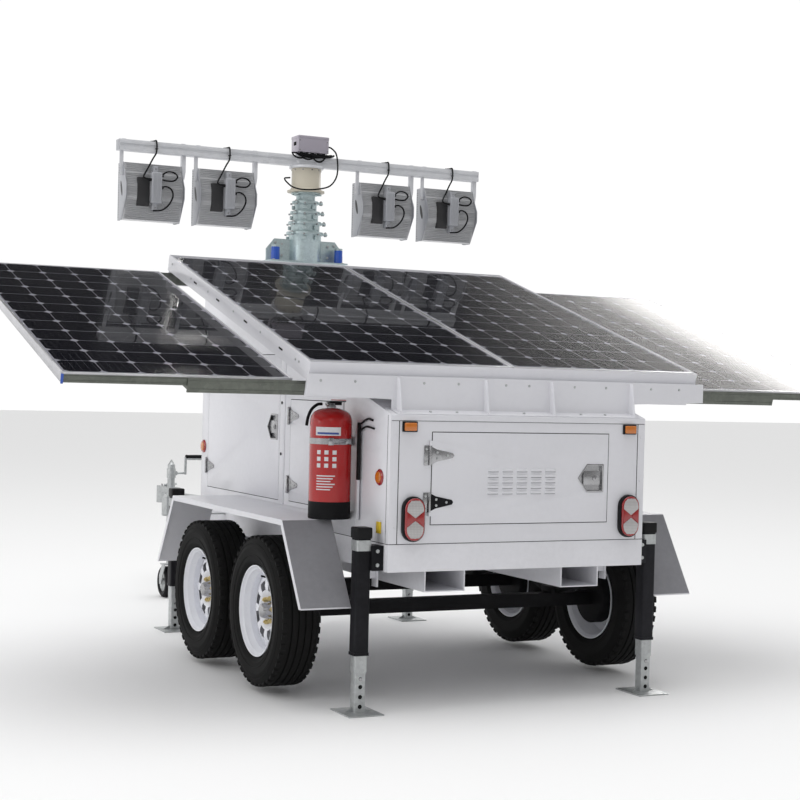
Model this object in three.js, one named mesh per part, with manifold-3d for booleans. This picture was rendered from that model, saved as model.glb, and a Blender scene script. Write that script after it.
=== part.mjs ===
// A mobile light tower: a tandem-axle trailer with a wedge cabinet, two fixed and two
// slide-out solar panels on its roof, and a telescopic mast that carries four floodlights.
// Millimetres, +Z up, +Y towards the drawbar, +X to the trailer's right.
import * as THREE from "three";
import { mergeVertices } from "three/addons/utils/BufferGeometryUtils.js";
import Module from "manifold-3d";

const wasm = await Module();
wasm.setup();

// ------------------------------------------------------------------ driving dimensions
const gap = 0.3; // left between pieces that touch
const running = 0.5; // left between pieces that slide or turn
const degree = Math.PI / 180;

const cabinetLength = 2410;
const cabinetWidth = 1306;
const cabinetRearHeight = 556.5; // of the wedge's low rear wall above the deck
const roofTilt = 16.4 * degree;
const cabinetSheet = 4;

const deckHeight = 731; // top of the chassis above the ground
const chassisDepth = 120;
const railWidth = 60;
const deckSheet = 4;
const frontDeckLength = 270; // of chassis ahead of the cabinet
const crossMemberWidth = 50;
const crossMembers = 2;

const forkPocketWidth = 200;
const forkPocketHeight = 97;
const forkPocketSpread = 696; // centre to centre
const forkPocketWall = 5;
const forkPocketInset = 50; // of each mouth behind the chassis edge

const wheelRadius = 344.5;
const tyreWidth = 205;
const rimRadius = 208;
const rimSeatRadius = 190.5;
const rimWidth = 176;
const wheelCentreHeight = wheelRadius + 25.5; // it hangs clear while the jacks stand
const wheelTrack = cabinetWidth + 488; // centre to centre of the tyres
const rearAxleY = 683;
const axleSpacing = 2 * wheelRadius + 113;
const axleBeam = 65;
const hubRadius = 70;
const spindleRadius = 22;
const wheelWindows = 8;
const wheelFacets = 20;

const springWidth = 45;
const springThickness = 24;
const springHalfSpan = 360;
const springRise = 62;
const springSpread = cabinetWidth - 102; // centre to centre of the two sides
const hangerSheet = 8;

const fenderWidth = 354;
const fenderTopHeight = wheelCentreHeight + wheelRadius + 100.5;
const fenderTopLength = axleSpacing + 692;
const fenderSkirtDrop = 365;
const fenderSkirtRun = 237;
const fenderSheet = 4;
const fenderHem = 25;

const jackSpread = cabinetWidth + 170; // centre to centre across the trailer
const jackRearY = 88;
const jackFrontY = cabinetLength + 165;
const jackTube = 65;
const jackWall = 3.5;
const jackTopHeight = 801;
const jackTubeBottom = 250;
const jackLegTop = 500;
const jackInnerBottom = 174;
const jackDropLeg = 50;
const jackFootLength = 200;
const jackFootWidth = 165;
const jackFootSheet = 6;
const jackPinRadius = 10;

const drawbarReach = 2210; // of the A-frame ahead of the chassis
const drawbarTube = 60;
const drawbarDepth = 90;
const drawbarRootInset = 68;
const drawbarCrossAt = 720; // of the A-frame's cross tube ahead of the chassis
const couplerLength = 230;
const couplerWidth = 84;

const jockeyOffset = 81.2; // of the jockey tube outside the drawbar leg
const jockeyAhead = 1200; // of the jockey tube ahead of the chassis
const jockeyRadius = 24;
const jockeyLegRadius = 19;
const jockeyTop = 900;
const jockeyTubeBottom = 370;
const jockeyWheelRadius = 100;
const jockeyWheelWidth = 60;
const jockeyTrail = 60; // of the wheel's axle ahead of the tube

const roofRearY = 80;
const roofRise = 192.1; // of the rear top edge above the cabinet's roof sheet, straight up
const roofLength = 2004.5;
const roofHalfWidth = 999;
const roofBeamWidth = 45;
const roofBeamTop = -42.3;
const roofBeamBottom = -83;
const roofFascia = 3;
const roofBays = 3; // between cross beams on each side
const panelLength = 1956;
const panelWidth = 992;
const panelDepth = 40;
const panelLaminate = 5;
const panelLip = 30;
const panelSheet = 3;

const slidePanelLength = 1938;
const slidePanelDrop = 88.7; // of its face below the fixed panels' face
const slideTravel = 1045;
const slideInset = 47.5; // of the slide-out panel's near edge up the slope
const slideRail = 6; // thickness of each rail member
const slideOuterHeight = 82;
const slideMiddleHeight = 63;
const slideInnerHeight = 34;
const carriageLength = 950;
const carriageTie = 25;

const bracketHalfWidth = 1020;
const bracketFootHalfWidth = cabinetWidth / 2 - 28;
const bracketRearY = 58;
const bracketSheet = 4;
const bracketRibs = [-600, -170, 170, 600];

const mastY = cabinetLength + 149;
const mastStages = 4;
const mastOuterRadius = 95;
const mastStep = 10; // less radius for each stage
const mastWall = 6;
const mastBaseTop = 2290;
const mastStageRise = 60; // each collar above the one before it
const mastFoot = 12;
const mastCollar = 16;
const mastFacets = 16;
const cradleHalfWidth = 240;
const cradleBottom = 2110;
const cradleHeight = 135;

const rotatorRadius = 85;
const rotatorBottom = 2520;
const rotatorTop = 2658;
const crossbarLength = 2254;
const crossbarSize = 60;
const crossbarBottom = 2672;
const lampCentres = [-930, -500, 500, 930];
const lampWidth = 330;
const lampPivotHeight = 2550;
const lampTop = 60; // above the pivot
const lampBottom = -260;
const lampFront = 80; // ahead of the pivot
const lampSideSheet = 3;
const yokeSheet = 4;
const yokeWidth = 26;
const leadRadius = 4;

const extinguisherRadius = 94;
const extinguisherX = -cabinetWidth / 2 - 114;
const extinguisherY = 375;
const extinguisherShoulder = 1300;
const extinguisherTop = 1343;

const doorSheet = 20;
const doorProud = 1.5;
const doorGap = 3;
const hingeHeight = 87;
const hingeReach = 100;
const hingeOffset = { x: -12, y: -8 }; // of the pin from the door's outer hinge edge
const dishWidth = 138;
const dishHeight = 128;
const dishDepth = 12;
const paddleLength = 88;
const paddleHeight = 62;

// ------------------------------------------------------------------- derived places
const halfCabinet = cabinetWidth / 2;
const chassisBottom = deckHeight - chassisDepth;
const chassisLength = cabinetLength + frontDeckLength;
const cabinetRearTop = deckHeight + cabinetRearHeight;
const roofHeightAt = (y) => cabinetRearTop + y * Math.tan(roofTilt);
const roofRearZ = roofHeightAt(roofRearY) + roofRise;
const cabinetTopW = -roofRise * Math.cos(roofTilt); // the cabinet's roof in the roof's frame
const frontAxleY = rearAxleY + axleSpacing;
const fenderOuterX = halfCabinet + gap + fenderWidth;
const fenderSkirtWidth = fenderOuterX - (jackSpread + jackTube) / 2 - 1.8; // clears the jacks
const wheelX = wheelTrack / 2;
const rearmostY = jackRearY - jackFootLength / 2;
const couplerTipY = chassisLength + drawbarReach + couplerLength;
const originY = (rearmostY + couplerTipY) / 2;

// --------------------------------------------------------------------- solid helpers
/** A closed three.js geometry as a solid that can be joined and cut. */
function solid(geometry) {
  const loose = geometry.index ? geometry.toNonIndexed() : geometry;
  const bare = new THREE.BufferGeometry();
  bare.setAttribute("position", loose.getAttribute("position"));
  const merged = mergeVertices(bare, 1e-3);
  const corners = merged.index.array;
  const kept = [];
  for (let i = 0; i < corners.length; i += 3) {
    const [a, b, c] = [corners[i], corners[i + 1], corners[i + 2]];
    if (a !== b && b !== c && c !== a) kept.push(a, b, c);
  }
  return new wasm.Manifold(
    new wasm.Mesh({
      numProp: 3,
      vertProperties: merged.getAttribute("position").array,
      triVerts: new Uint32Array(kept),
    }),
  );
}

/** All the solids joined into one. */
function join(...solids) {
  return solids.flat().reduce((whole, piece) => whole.add(piece));
}

/** The first solid with each of the others taken away. */
function cut(whole, ...tools) {
  return tools.flat().reduce((rest, tool) => rest.subtract(tool), whole);
}

/** A box between two corners. */
function box(x0, x1, y0, y1, z0, z1) {
  const geometry = new THREE.BoxGeometry(x1 - x0, y1 - y0, z1 - z0);
  return solid(geometry.translate((x0 + x1) / 2, (y0 + y1) / 2, (z0 + z1) / 2));
}

function outline(points) {
  return new THREE.Shape(points.map(([a, b]) => new THREE.Vector2(a, b)));
}

/** An outline of [y, z] points drawn out along X. */
function alongX(points, x0, x1) {
  const geometry = new THREE.ExtrudeGeometry(outline(points), {
    depth: x1 - x0,
    bevelEnabled: false,
  });
  const turn = new THREE.Matrix4().makeBasis(
    new THREE.Vector3(0, 1, 0),
    new THREE.Vector3(0, 0, 1),
    new THREE.Vector3(1, 0, 0),
  );
  return solid(geometry.applyMatrix4(turn).translate(x0, 0, 0));
}

/** An outline of [x, z] points drawn out along Y. */
function alongY(points, y0, y1) {
  const geometry = new THREE.ExtrudeGeometry(outline(points), {
    depth: y1 - y0,
    bevelEnabled: false,
  });
  return solid(geometry.rotateX(Math.PI / 2).translate(0, y1, 0));
}

/** An outline of [x, y] points drawn out along Z. */
function alongZ(points, z0, z1) {
  const geometry = new THREE.ExtrudeGeometry(outline(points), {
    depth: z1 - z0,
    bevelEnabled: false,
  });
  return solid(geometry.translate(0, 0, z0));
}

/** A rod of the given radius along "x", "y" or "z" from one value to another. */
function rod(axis, radius, from, to, [a, b], sides = 16) {
  const geometry = new THREE.CylinderGeometry(radius, radius, to - from, sides);
  const middle = (from + to) / 2;
  if (axis === "x") geometry.rotateZ(Math.PI / 2).translate(middle, a, b);
  if (axis === "y") geometry.translate(a, middle, b);
  if (axis === "z") geometry.rotateX(Math.PI / 2).translate(a, b, middle);
  return solid(geometry);
}

/** A profile of [radius, height] points, anticlockwise round its metal, turned about Z. */
function turned(profile, sides = 20) {
  const clockwise = THREE.ShapeUtils.area(outline(profile).getPoints()) < 0;
  const ordered = clockwise ? [...profile].reverse() : profile;
  const points = ordered.map(([radius, height]) => new THREE.Vector2(radius, height));
  return solid(new THREE.LatheGeometry(points, sides).rotateX(Math.PI / 2));
}

/** A round cord of the given radius along a smooth curve through the points. */
function cord(points, radius, sides, steps) {
  const path = new THREE.CatmullRomCurve3(points.map((p) => new THREE.Vector3(...p)));
  const ring = [];
  for (let i = 0; i < sides; i += 1) {
    const angle = (2 * Math.PI * i) / sides;
    ring.push([radius * Math.cos(angle), radius * Math.sin(angle)]);
  }
  return solid(
    new THREE.ExtrudeGeometry(outline(ring), { steps, extrudePath: path, bevelEnabled: false }),
  );
}

/** A solid turned about Z by an angle in degrees, then moved. */
function placed(body, angle, x, y, z) {
  return body.rotate([0, 0, angle]).translate([x, y, z]);
}

const paint = (color, roughness, metalness = 0) =>
  new THREE.MeshStandardMaterial({ color, roughness, metalness });

/** The solid as a named mesh in a group. */
function addMesh(group, name, body, material) {
  const made = body.getMesh();
  const places = new Float32Array(made.numVert * 3);
  for (let i = 0; i < made.numVert; i += 1) {
    const start = i * made.numProp;
    places.set(made.vertProperties.subarray(start, start + 3), i * 3);
  }
  const geometry = new THREE.BufferGeometry();
  geometry.setAttribute("position", new THREE.BufferAttribute(places, 3));
  geometry.setIndex(new THREE.BufferAttribute(new Uint32Array(made.triVerts), 1));
  geometry.computeVertexNormals();
  const mesh = new THREE.Mesh(geometry, material);
  mesh.name = name;
  group.add(mesh);
  return mesh;
}

function groupAt(parent, x, y, z) {
  const group = new THREE.Group();
  group.position.set(x, y, z);
  parent.add(group);
  return group;
}

const trailer = new THREE.Group();
trailer.position.y = -originY;

// --------------------------------------------------------------------------- chassis
/** An open-bottomed steel tray with cross members, fork pockets and spring hangers. */
function chassisFrame() {
  const inner = halfCabinet - railWidth;
  const bay = box(
    -inner,
    inner,
    railWidth,
    chassisLength - railWidth,
    chassisBottom - 1,
    deckHeight - deckSheet,
  );
  const tray = cut(
    box(-halfCabinet, halfCabinet, 0, chassisLength, chassisBottom, deckHeight),
    bay,
  );
  const pieces = [tray];
  for (let i = 1; i <= crossMembers; i += 1) {
    const y = (chassisLength * i) / (crossMembers + 1);
    const half = crossMemberWidth / 2;
    pieces.push(box(-inner - 1, inner + 1, y - half, y + half, chassisBottom, deckHeight - 1));
  }
  for (const side of [-1, 1]) {
    pieces.push(forkPocket((side * forkPocketSpread) / 2));
    for (const y of hangerPlaces()) pieces.push(springHanger((side * springSpread) / 2, y));
  }
  return join(pieces);
}

/** A rectangular tube that a lift truck's fork goes into from behind or from the front. */
function forkPocket(x) {
  const half = forkPocketWidth / 2;
  const [near, far] = [forkPocketInset, cabinetLength - forkPocketInset];
  const [low, high] = [chassisBottom - forkPocketHeight, chassisBottom + 1];
  const wall = forkPocketWall;
  return cut(
    box(x - half, x + half, near, far, low, high),
    box(x - half + wall, x + half - wall, near - 1, far + 1, low + wall, chassisBottom - wall),
  );
}

function hangerPlaces() {
  const reach = springHalfSpan + 30;
  return [rearAxleY - reach, (rearAxleY + frontAxleY) / 2, frontAxleY + reach];
}

const springEyeHeight = chassisBottom - 66;
const springEyeRadius = 20;
const springPinRadius = 8;

/** Two plates under a side rail, joined by the pin block that the spring's end meets. */
function springHanger(x, y) {
  const half = springWidth / 2 + 4;
  const low = springEyeHeight - 30;
  const plate = (x0) => box(x0, x0 + hangerSheet, y - 25, y + 25, low, chassisBottom + 1);
  return join(
    plate(x - half - hangerSheet),
    plate(x + half),
    box(x - half - 1, x + half + 1, y - 12, y + 12, springEyeHeight + 8, chassisBottom + 1),
  );
}

// ---------------------------------------------------------------------------- drawbar
const drawbarTop = chassisBottom - gap;
const drawbarBottom = drawbarTop - drawbarDepth;
const drawbarTipY = chassisLength + drawbarReach;
const drawbarRootX = halfCabinet - drawbarRootInset;
const drawbarRootY = chassisLength - 240;
const drawbarLegX = (y) =>
  drawbarRootX + ((30 - drawbarRootX) * (y - drawbarRootY)) / (drawbarTipY - drawbarRootY);

const jockeyY = chassisLength + jockeyAhead;
const jockeyX = -drawbarLegX(jockeyY) - jockeyOffset;

/** The A-frame, with its cross tube, jockey bracket and ball coupler. */
function drawbar() {
  const half = drawbarTube / 2;
  const leg = (side) =>
    alongZ(
      [
        [side * (drawbarRootX - half), drawbarRootY],
        [side * (drawbarRootX + half), drawbarRootY],
        [side * (30 + half), drawbarTipY],
        [side * (30 - half), drawbarTipY],
      ],
      drawbarBottom,
      drawbarTop,
    );
  const crossY = chassisLength + drawbarCrossAt;
  const crossX = drawbarLegX(crossY);
  const cross = box(-crossX, crossX, crossY - half, crossY + half, drawbarBottom + 15, drawbarTop - 15);
  const nose = box(-60, 60, drawbarTipY - 130, drawbarTipY, drawbarBottom, drawbarTop);
  const wide = couplerWidth / 2;
  const neck = box(-wide, wide, drawbarTipY - 60, drawbarTipY + 150, drawbarTop - 1, drawbarTop + 40);
  const head = rod("z", wide + 8, drawbarBottom + 10, drawbarTop + 40, [0, couplerTipY - wide - 8]);
  const socket = rod("z", 25.5, drawbarBottom, drawbarTop - 6, [0, couplerTipY - wide - 8]);
  return cut(join(leg(-1), leg(1), cross, nose, neck, head, jockeyBracket()), socket);
}

/** A block on the A-frame's left leg that clamps round the jockey tube. */
function jockeyBracket() {
  const [clampX, y] = [jockeyX, jockeyY];
  const legX = -drawbarLegX(y);
  const arm = box(clampX - 36, legX, y - 32, y + 32, drawbarTop - 70, drawbarTop + 44);
  const plate = box(clampX - 36, clampX + 36, y + 31, y + 70, drawbarBottom + 10, drawbarTop + 44);
  const bore = rod("z", jockeyRadius + gap, drawbarBottom, jockeyTop, [clampX, y]);
  return cut(join(arm, plate), bore);
}

/** The hand lever on top of the ball coupler, about its own pivot. */
function couplerLever() {
  return join(
    alongX(
      [
        [-150, 22],
        [-140, 34],
        [-20, 26],
        [6, 14],
        [6, 4],
        [-10, 2],
      ],
      -16,
      16,
    ),
    rod("x", 8, -30, 30, [0, 10]),
  );
}

addMesh(trailer, "chassis_frame", chassisFrame(), paint(0xe8e8ee, 0.4, 0.1));
addMesh(trailer, "drawbar", drawbar(), paint(0xa9adad, 0.5, 0.7));
const leverGroup = groupAt(trailer, 0, drawbarTipY + 80, drawbarTop + 40 + running);
addMesh(leverGroup, "coupler_lever", couplerLever(), paint(0x202224, 0.5));

// ------------------------------------------------------------------------ jockey wheel

/** The fixed tube with its gear head on top. */
function jockeyTube() {
  const body = join(
    rod("z", jockeyRadius, jockeyTubeBottom, jockeyTop - 40, [0, 0]),
    rod("z", jockeyRadius + 5, jockeyTop - 120, jockeyTop - 60, [0, 0]),
    turned([
      [0, jockeyTop - 50],
      [jockeyRadius, jockeyTop - 50],
      [jockeyRadius, jockeyTop - 36],
      [0, jockeyTop],
    ]),
    rod("x", 15, 0, jockeyRadius + 14, [0, jockeyTop - 90]),
  );
  const bore = rod("z", jockeyLegRadius + running, jockeyTubeBottom - 1, jockeyTop - 140, [0, 0]);
  return cut(body, bore);
}

/** The inner tube, with a fork and axle for the wheel. */
function jockeyLeg() {
  const half = jockeyWheelWidth / 2 + 6;
  const axleHeight = jockeyWheelRadius;
  const crown = 2 * jockeyWheelRadius + 14;
  const cheek = (x) =>
    alongX(
      [
        [jockeyTrail - 16, axleHeight - 14],
        [jockeyTrail + 16, axleHeight - 14],
        [jockeyTrail + 18, axleHeight + 40],
        [24, crown + 8],
        [-24, crown + 8],
        [-24, crown - 10],
      ],
      x,
      x + 5,
    );
  return join(
    rod("z", jockeyLegRadius, crown, jockeyTop - 400, [0, 0]),
    box(-half - 5, half + 5, -24, 60, crown, crown + 8),
    cheek(-half - 5),
    cheek(half),
    rod("x", 7, -half - 4, half + 4, [jockeyTrail, axleHeight], 16),
  );
}

/** A solid rubber wheel about its own axle, along X. */
function jockeyWheel() {
  const [r, h] = [jockeyWheelRadius, jockeyWheelWidth / 2];
  const tyre = turned(
    [
      [8, -h],
      [r * 0.55, -h * 0.8],
      [r * 0.62, -h],
      [r - 10, -h],
      [r, -h + 12],
      [r, h - 12],
      [r - 10, h],
      [r * 0.62, h],
      [r * 0.55, h * 0.8],
      [8, h],
      [8, -h],
    ],
    20,
  );
  return tyre.rotate([0, 90, 0]);
}

/** The side-wind crank: a shaft along X, an arm and a grip. */
function jockeyCrank() {
  return join(
    rod("x", 7, 0, 62, [0, 0], 12),
    box(50, 62, -9, 9, -9, 105),
    rod("x", 11, 56, 200, [0, 95], 12),
  );
}

const jockeyGroup = groupAt(trailer, jockeyX, jockeyY, 0);
addMesh(jockeyGroup, "jockey_tube", jockeyTube(), paint(0xb4b9b9, 0.45, 0.8));
addMesh(jockeyGroup, "jockey_leg", jockeyLeg(), paint(0xb4b9b9, 0.45, 0.8));
const jockeyWheelMesh = addMesh(jockeyGroup, "jockey_wheel", jockeyWheel(), paint(0x1b1b1c, 0.8));
jockeyWheelMesh.position.set(0, jockeyTrail, jockeyWheelRadius);
const crankMesh = addMesh(jockeyGroup, "jockey_crank", jockeyCrank(), paint(0x2f3534, 0.5, 0.3));
crankMesh.position.set(jockeyRadius + 14 + running, 0, jockeyTop - 90);

// --------------------------------------------------------------------- wheels and axles
/** A road tyre, hollow as real ones are, about its own axle along X. */
function tyre() {
  const half = tyreWidth / 2;
  const tyreSeat = rimSeatRadius + gap;
  const beadHalf = rimWidth / 2 - 15;
  const profile = [
    [tyreSeat, -beadHalf],
    [rimRadius + 8, -beadHalf],
    [rimRadius + 50, -half],
    [wheelRadius - 30, -half + 4],
    [wheelRadius, -half + 34],
    [wheelRadius, half - 34],
    [wheelRadius - 30, half - 4],
    [rimRadius + 50, half],
    [rimRadius + 8, beadHalf],
    [tyreSeat, beadHalf],
    [tyreSeat, beadHalf - 14],
    [rimRadius + 30, beadHalf - 10],
    [rimRadius + 46, half - 14],
    [wheelRadius - 18, half - 24],
    [wheelRadius - 18, -half + 24],
    [rimRadius + 46, -half + 14],
    [rimRadius + 30, -beadHalf + 10],
    [tyreSeat, -beadHalf + 14],
    [tyreSeat, -beadHalf],
  ];
  return turned(profile, wheelFacets).rotate([0, 90, 0]);
}

/** A steel wheel with windows and a hub, its open face towards +X before it is turned. */
function rim() {
  const half = rimWidth / 2;
  const barrel = [
    [rimRadius, -half],
    [rimRadius - 5, -half],
    [rimSeatRadius - 4, -half + 11],
    [rimSeatRadius - 4, half - 11],
    [rimRadius - 5, half],
    [rimRadius, half],
    [rimSeatRadius, half - 14],
    [rimSeatRadius, -half + 14],
    [rimRadius, -half],
  ];
  const disc = [
    [spindleRadius + running, 20],
    [spindleRadius + running, -30],
    [hubRadius - 10, -30],
    [hubRadius - 10, 8],
    [hubRadius + 45, 28],
    [rimSeatRadius - 2, 12],
    [rimSeatRadius - 2, 20],
    [hubRadius + 45, 36],
    [hubRadius, 20],
    [spindleRadius + running, 20],
  ];
  const windows = [];
  for (let i = 0; i < wheelWindows; i += 1) {
    const angle = (360 * i) / wheelWindows;
    windows.push(
      alongZ(
        [
          [-7, hubRadius + 22],
          [7, hubRadius + 22],
          [19, hubRadius + 66],
          [-19, hubRadius + 66],
        ],
        -20,
        60,
      ).rotate([0, 0, angle]),
    );
  }
  const cap = turned([
    [0, 19],
    [34, 19],
    [34, 56],
    [26, 66],
    [0, 66],
  ]);
  const face = cut(turned(disc, wheelFacets), windows);
  return join(turned(barrel, wheelFacets), face, cap).rotate([0, 90, 0]);
}

const springPadHeight = wheelCentreHeight + axleBeam / 2;

/** One leaf pack from eye to eye, bowed down at the middle, where it sits on the beam. */
function leafSpring(x) {
  const points = [];
  const steps = 8;
  const bowed = (y) =>
    springPadHeight + (springEyeHeight - springPadHeight - springThickness / 2) * (y / springHalfSpan) ** 2;
  for (let i = 0; i <= steps; i += 1) {
    const y = springHalfSpan * ((2 * i) / steps - 1);
    points.push([y, bowed(y)]);
  }
  const upper = points.map(([y, z]) => [y, z + springThickness]).reverse();
  const half = springWidth / 2;
  return alongX([...points, ...upper], x - half, x + half);
}

/** The axle beam with its spindles, and the two leaf packs that are bolted to it. */
function axle() {
  const half = axleBeam / 2;
  const beamEnd = wheelX - 82;
  const beam = alongX(
    [
      [-half, -half],
      [half, -half],
      [half, half],
      [-half, half],
    ],
    -beamEnd,
    beamEnd,
  ).translate([0, 0, wheelCentreHeight]);
  const pieces = [beam];
  for (const side of [-1, 1]) {
    const [from, to] = side < 0 ? [-wheelX - 15, -beamEnd + 1] : [beamEnd - 1, wheelX + 15];
    pieces.push(rod("x", spindleRadius, from, to, [0, wheelCentreHeight]));
    pieces.push(leafSpring((side * springSpread) / 2));
    const x = (side * springSpread) / 2;
    pieces.push(
      box(x - 40, x + 40, -50, 50, wheelCentreHeight + half - 1, springPadHeight + springThickness + 8),
    );
  }
  return join(pieces);
}

for (const [place, y] of [
  ["rear", rearAxleY],
  ["front", frontAxleY],
]) {
  const axleGroup = groupAt(trailer, 0, y, 0);
  addMesh(axleGroup, `axle_${place}`, axle(), paint(0x17181a, 0.6));
  for (const [side, sign] of [
    ["left", -1],
    ["right", 1],
  ]) {
    const wheel = groupAt(axleGroup, sign * wheelX, 0, wheelCentreHeight);
    if (sign < 0) wheel.rotation.z = Math.PI;
    addMesh(wheel, `tyre_${side}_${place}`, tyre(), paint(0x1a1a1b, 0.85));
    addMesh(wheel, `rim_${side}_${place}`, rim(), paint(0xe9ebf2, 0.35, 0.2));
  }
}

// ------------------------------------------------------------------------------ fenders
/** A bent sheet over both wheels of the left side, with a hem on its outer edge. */
function fender(withBracket) {
  const s = fenderSheet;
  const middle = (rearAxleY + frontAxleY) / 2;
  const [topRear, topFront] = [middle - fenderTopLength / 2, middle + fenderTopLength / 2];
  const [top, low] = [fenderTopHeight, fenderTopHeight - fenderSkirtDrop];
  const outerX = -fenderOuterX;
  const innerX = -(halfCabinet + gap);
  const arch = alongX(
    [
      [topRear - fenderSkirtRun, low],
      [topRear, top],
      [topFront, top],
      [topFront + fenderSkirtRun, low],
      [topFront + fenderSkirtRun - s, low],
      [topFront - s * 0.6, top - s],
      [topRear + s * 0.6, top - s],
      [topRear - fenderSkirtRun + s, low],
    ],
    outerX,
    outerX + fenderSkirtWidth,
  );
  const shelf = box(outerX, innerX, topRear, topFront, top - s, top);
  const wallFlange = box(innerX - s, innerX, topRear + 10, topFront - 10, top - 45, top);
  const hem = alongX(
    [
      [topRear - fenderSkirtRun, low],
      [topRear, top],
      [topFront, top],
      [topFront + fenderSkirtRun, low],
      [topFront + fenderSkirtRun - fenderHem, low],
      [topFront - fenderHem * 0.55, top - fenderHem],
      [topRear + fenderHem * 0.55, top - fenderHem],
      [topRear - fenderSkirtRun + fenderHem, low],
    ],
    outerX,
    outerX + s,
  );
  const pieces = [arch, shelf, wallFlange, hem];
  if (withBracket) pieces.push(extinguisherBracket());
  return join(pieces);
}

/** An upright bar with a saddle that the fire extinguisher's strap goes round. */
function extinguisherBracket() {
  const x = -(halfCabinet + 14);
  const saddleHeight = 1160;
  const bar = box(x - 5, x + 5, extinguisherY - 90, extinguisherY - 60, fenderTopHeight - 1, 1230);
  const [near, far] = [extinguisherY - 90, extinguisherY + 30];
  const arm = box(x - 5, x + 5, near, far, saddleHeight - 20, saddleHeight + 20);
  const foot = box(x - 5, x + 5, near, far, fenderTopHeight - 3, fenderTopHeight + 30);
  return join(bar, arm, foot);
}

const white = () => paint(0xeeeef2, 0.35, 0.05);
addMesh(trailer, "fender_left", fender(true), white());
const rightFender = fender(false).mirror([1, 0, 0]);
addMesh(trailer, "fender_right", rightFender, white());

// -------------------------------------------------------------------------------- jacks
/** The outer tube with a closed top and the plate that is bolted to the chassis side. */
function jackOuter() {
  const half = jackTube / 2;
  const hole = half - jackWall;
  const tube = cut(
    box(-half, half, -half, half, jackTubeBottom, jackTopHeight),
    box(-hole, hole, -hole, hole, jackTubeBottom - 1, jackTopHeight - 30),
  );
  const cap = box(-half - 4, half + 4, -half - 4, half + 4, jackTopHeight - 62, jackTopHeight);
  const reach = jackSpread / 2 - halfCabinet - gap;
  const plate = box(0, reach, -48, 48, chassisBottom + 4, deckHeight - 8);
  const core = box(-hole, hole, -hole, hole, jackTubeBottom - 1, jackTopHeight - 30);
  return cut(join(tube, cap, plate), core);
}

/** The inner square tube, the drop leg with its pin holes, and the foot plate. */
function jackLeg() {
  const half = jackTube / 2 - jackWall - running;
  const drop = jackDropLeg / 2;
  const body = join(
    box(-half, half, -half, half, jackInnerBottom, jackLegTop),
    box(-drop, drop, -drop, drop, jackFootSheet - 1, jackInnerBottom + 1),
    box(
      -jackFootWidth / 2,
      jackFootWidth / 2,
      -jackFootLength / 2,
      jackFootLength / 2,
      0,
      jackFootSheet,
    ),
  );
  const hollow = drop - 4;
  const bore = box(-hollow, hollow, -hollow, hollow, jackFootSheet, jackLegTop + 1);
  const holes = [30, 115].map((z) => rod("y", jackPinRadius, -drop - 1, drop + 1, [0, z], 10));
  return cut(body, bore, holes);
}

for (const [place, y] of [
  ["rear", jackRearY],
  ["front", jackFrontY],
]) {
  for (const [side, sign] of [
    ["left", -1],
    ["right", 1],
  ]) {
    const jack = groupAt(trailer, (sign * jackSpread) / 2, y, 0);
    if (sign > 0) jack.rotation.z = Math.PI;
    addMesh(jack, `jack_tube_${side}_${place}`, jackOuter(), paint(0x141517, 0.45, 0.2));
    addMesh(jack, `jack_leg_${side}_${place}`, jackLeg(), paint(0x9a9f9f, 0.5, 0.8));
  }
}

// ------------------------------------------------------------------------------ cabinet
const tallDoor = { bottom: fenderTopHeight + 18, width: 1040, height: 1532 - fenderTopHeight };
const lowDoor = { bottom: fenderTopHeight + 23, width: 623, height: 1307 - fenderTopHeight };
const doors = [
  { name: "rear", turn: 0, x: -452, y: 0, bottom: 815, width: 904, height: 398.5 },
  { name: "left_front", turn: -90, x: -halfCabinet, y: 2300, ...tallDoor },
  { name: "left_rear", turn: -90, x: -halfCabinet, y: 1118, ...lowDoor },
  { name: "right", turn: 90, x: halfCabinet, y: 1260, ...tallDoor },
];

/** The wedge shell, open underneath and at each doorway. */
function cabinetShell() {
  const s = cabinetSheet;
  const floor = deckHeight + gap;
  const wedge = alongX(
    [
      [0, floor],
      [cabinetLength, floor],
      [cabinetLength, roofHeightAt(cabinetLength)],
      [0, cabinetRearTop],
    ],
    -halfCabinet,
    halfCabinet,
  );
  const inside = alongX(
    [
      [s, floor - 1],
      [cabinetLength - s, floor - 1],
      [cabinetLength - s, roofHeightAt(cabinetLength - s) - s],
      [s, roofHeightAt(s) - s],
    ],
    -halfCabinet + s,
    halfCabinet - s,
  );
  const lip = 20;
  const floorLip = cut(
    box(-halfCabinet + 1, halfCabinet - 1, 1, cabinetLength - 1, floor, floor + s),
    box(-halfCabinet + lip, halfCabinet - lip, lip, cabinetLength - lip, floor - 1, floor + s + 1),
  );
  const doorways = doors.map((door) =>
    placed(
      box(-doorGap, door.width + doorGap, -1, 30, -doorGap, door.height + doorGap),
      door.turn,
      door.x,
      door.y,
      door.bottom,
    ),
  );
  return cut(join(cut(wedge, inside), floorLip), doorways);
}

/** A five-sided latch outline about its own centre, pointing to the hinge side. */
function dishOutline(margin) {
  const [w, h] = [dishWidth / 2 - margin, dishHeight / 2 - margin];
  return [
    [w, -h],
    [w, h],
    [-w * 0.3, h],
    [-w, 0],
    [-w * 0.3, -h],
  ];
}

const dishX = (door) => door.width - 92;
const dishZ = (door) => door.height / 2;

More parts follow.
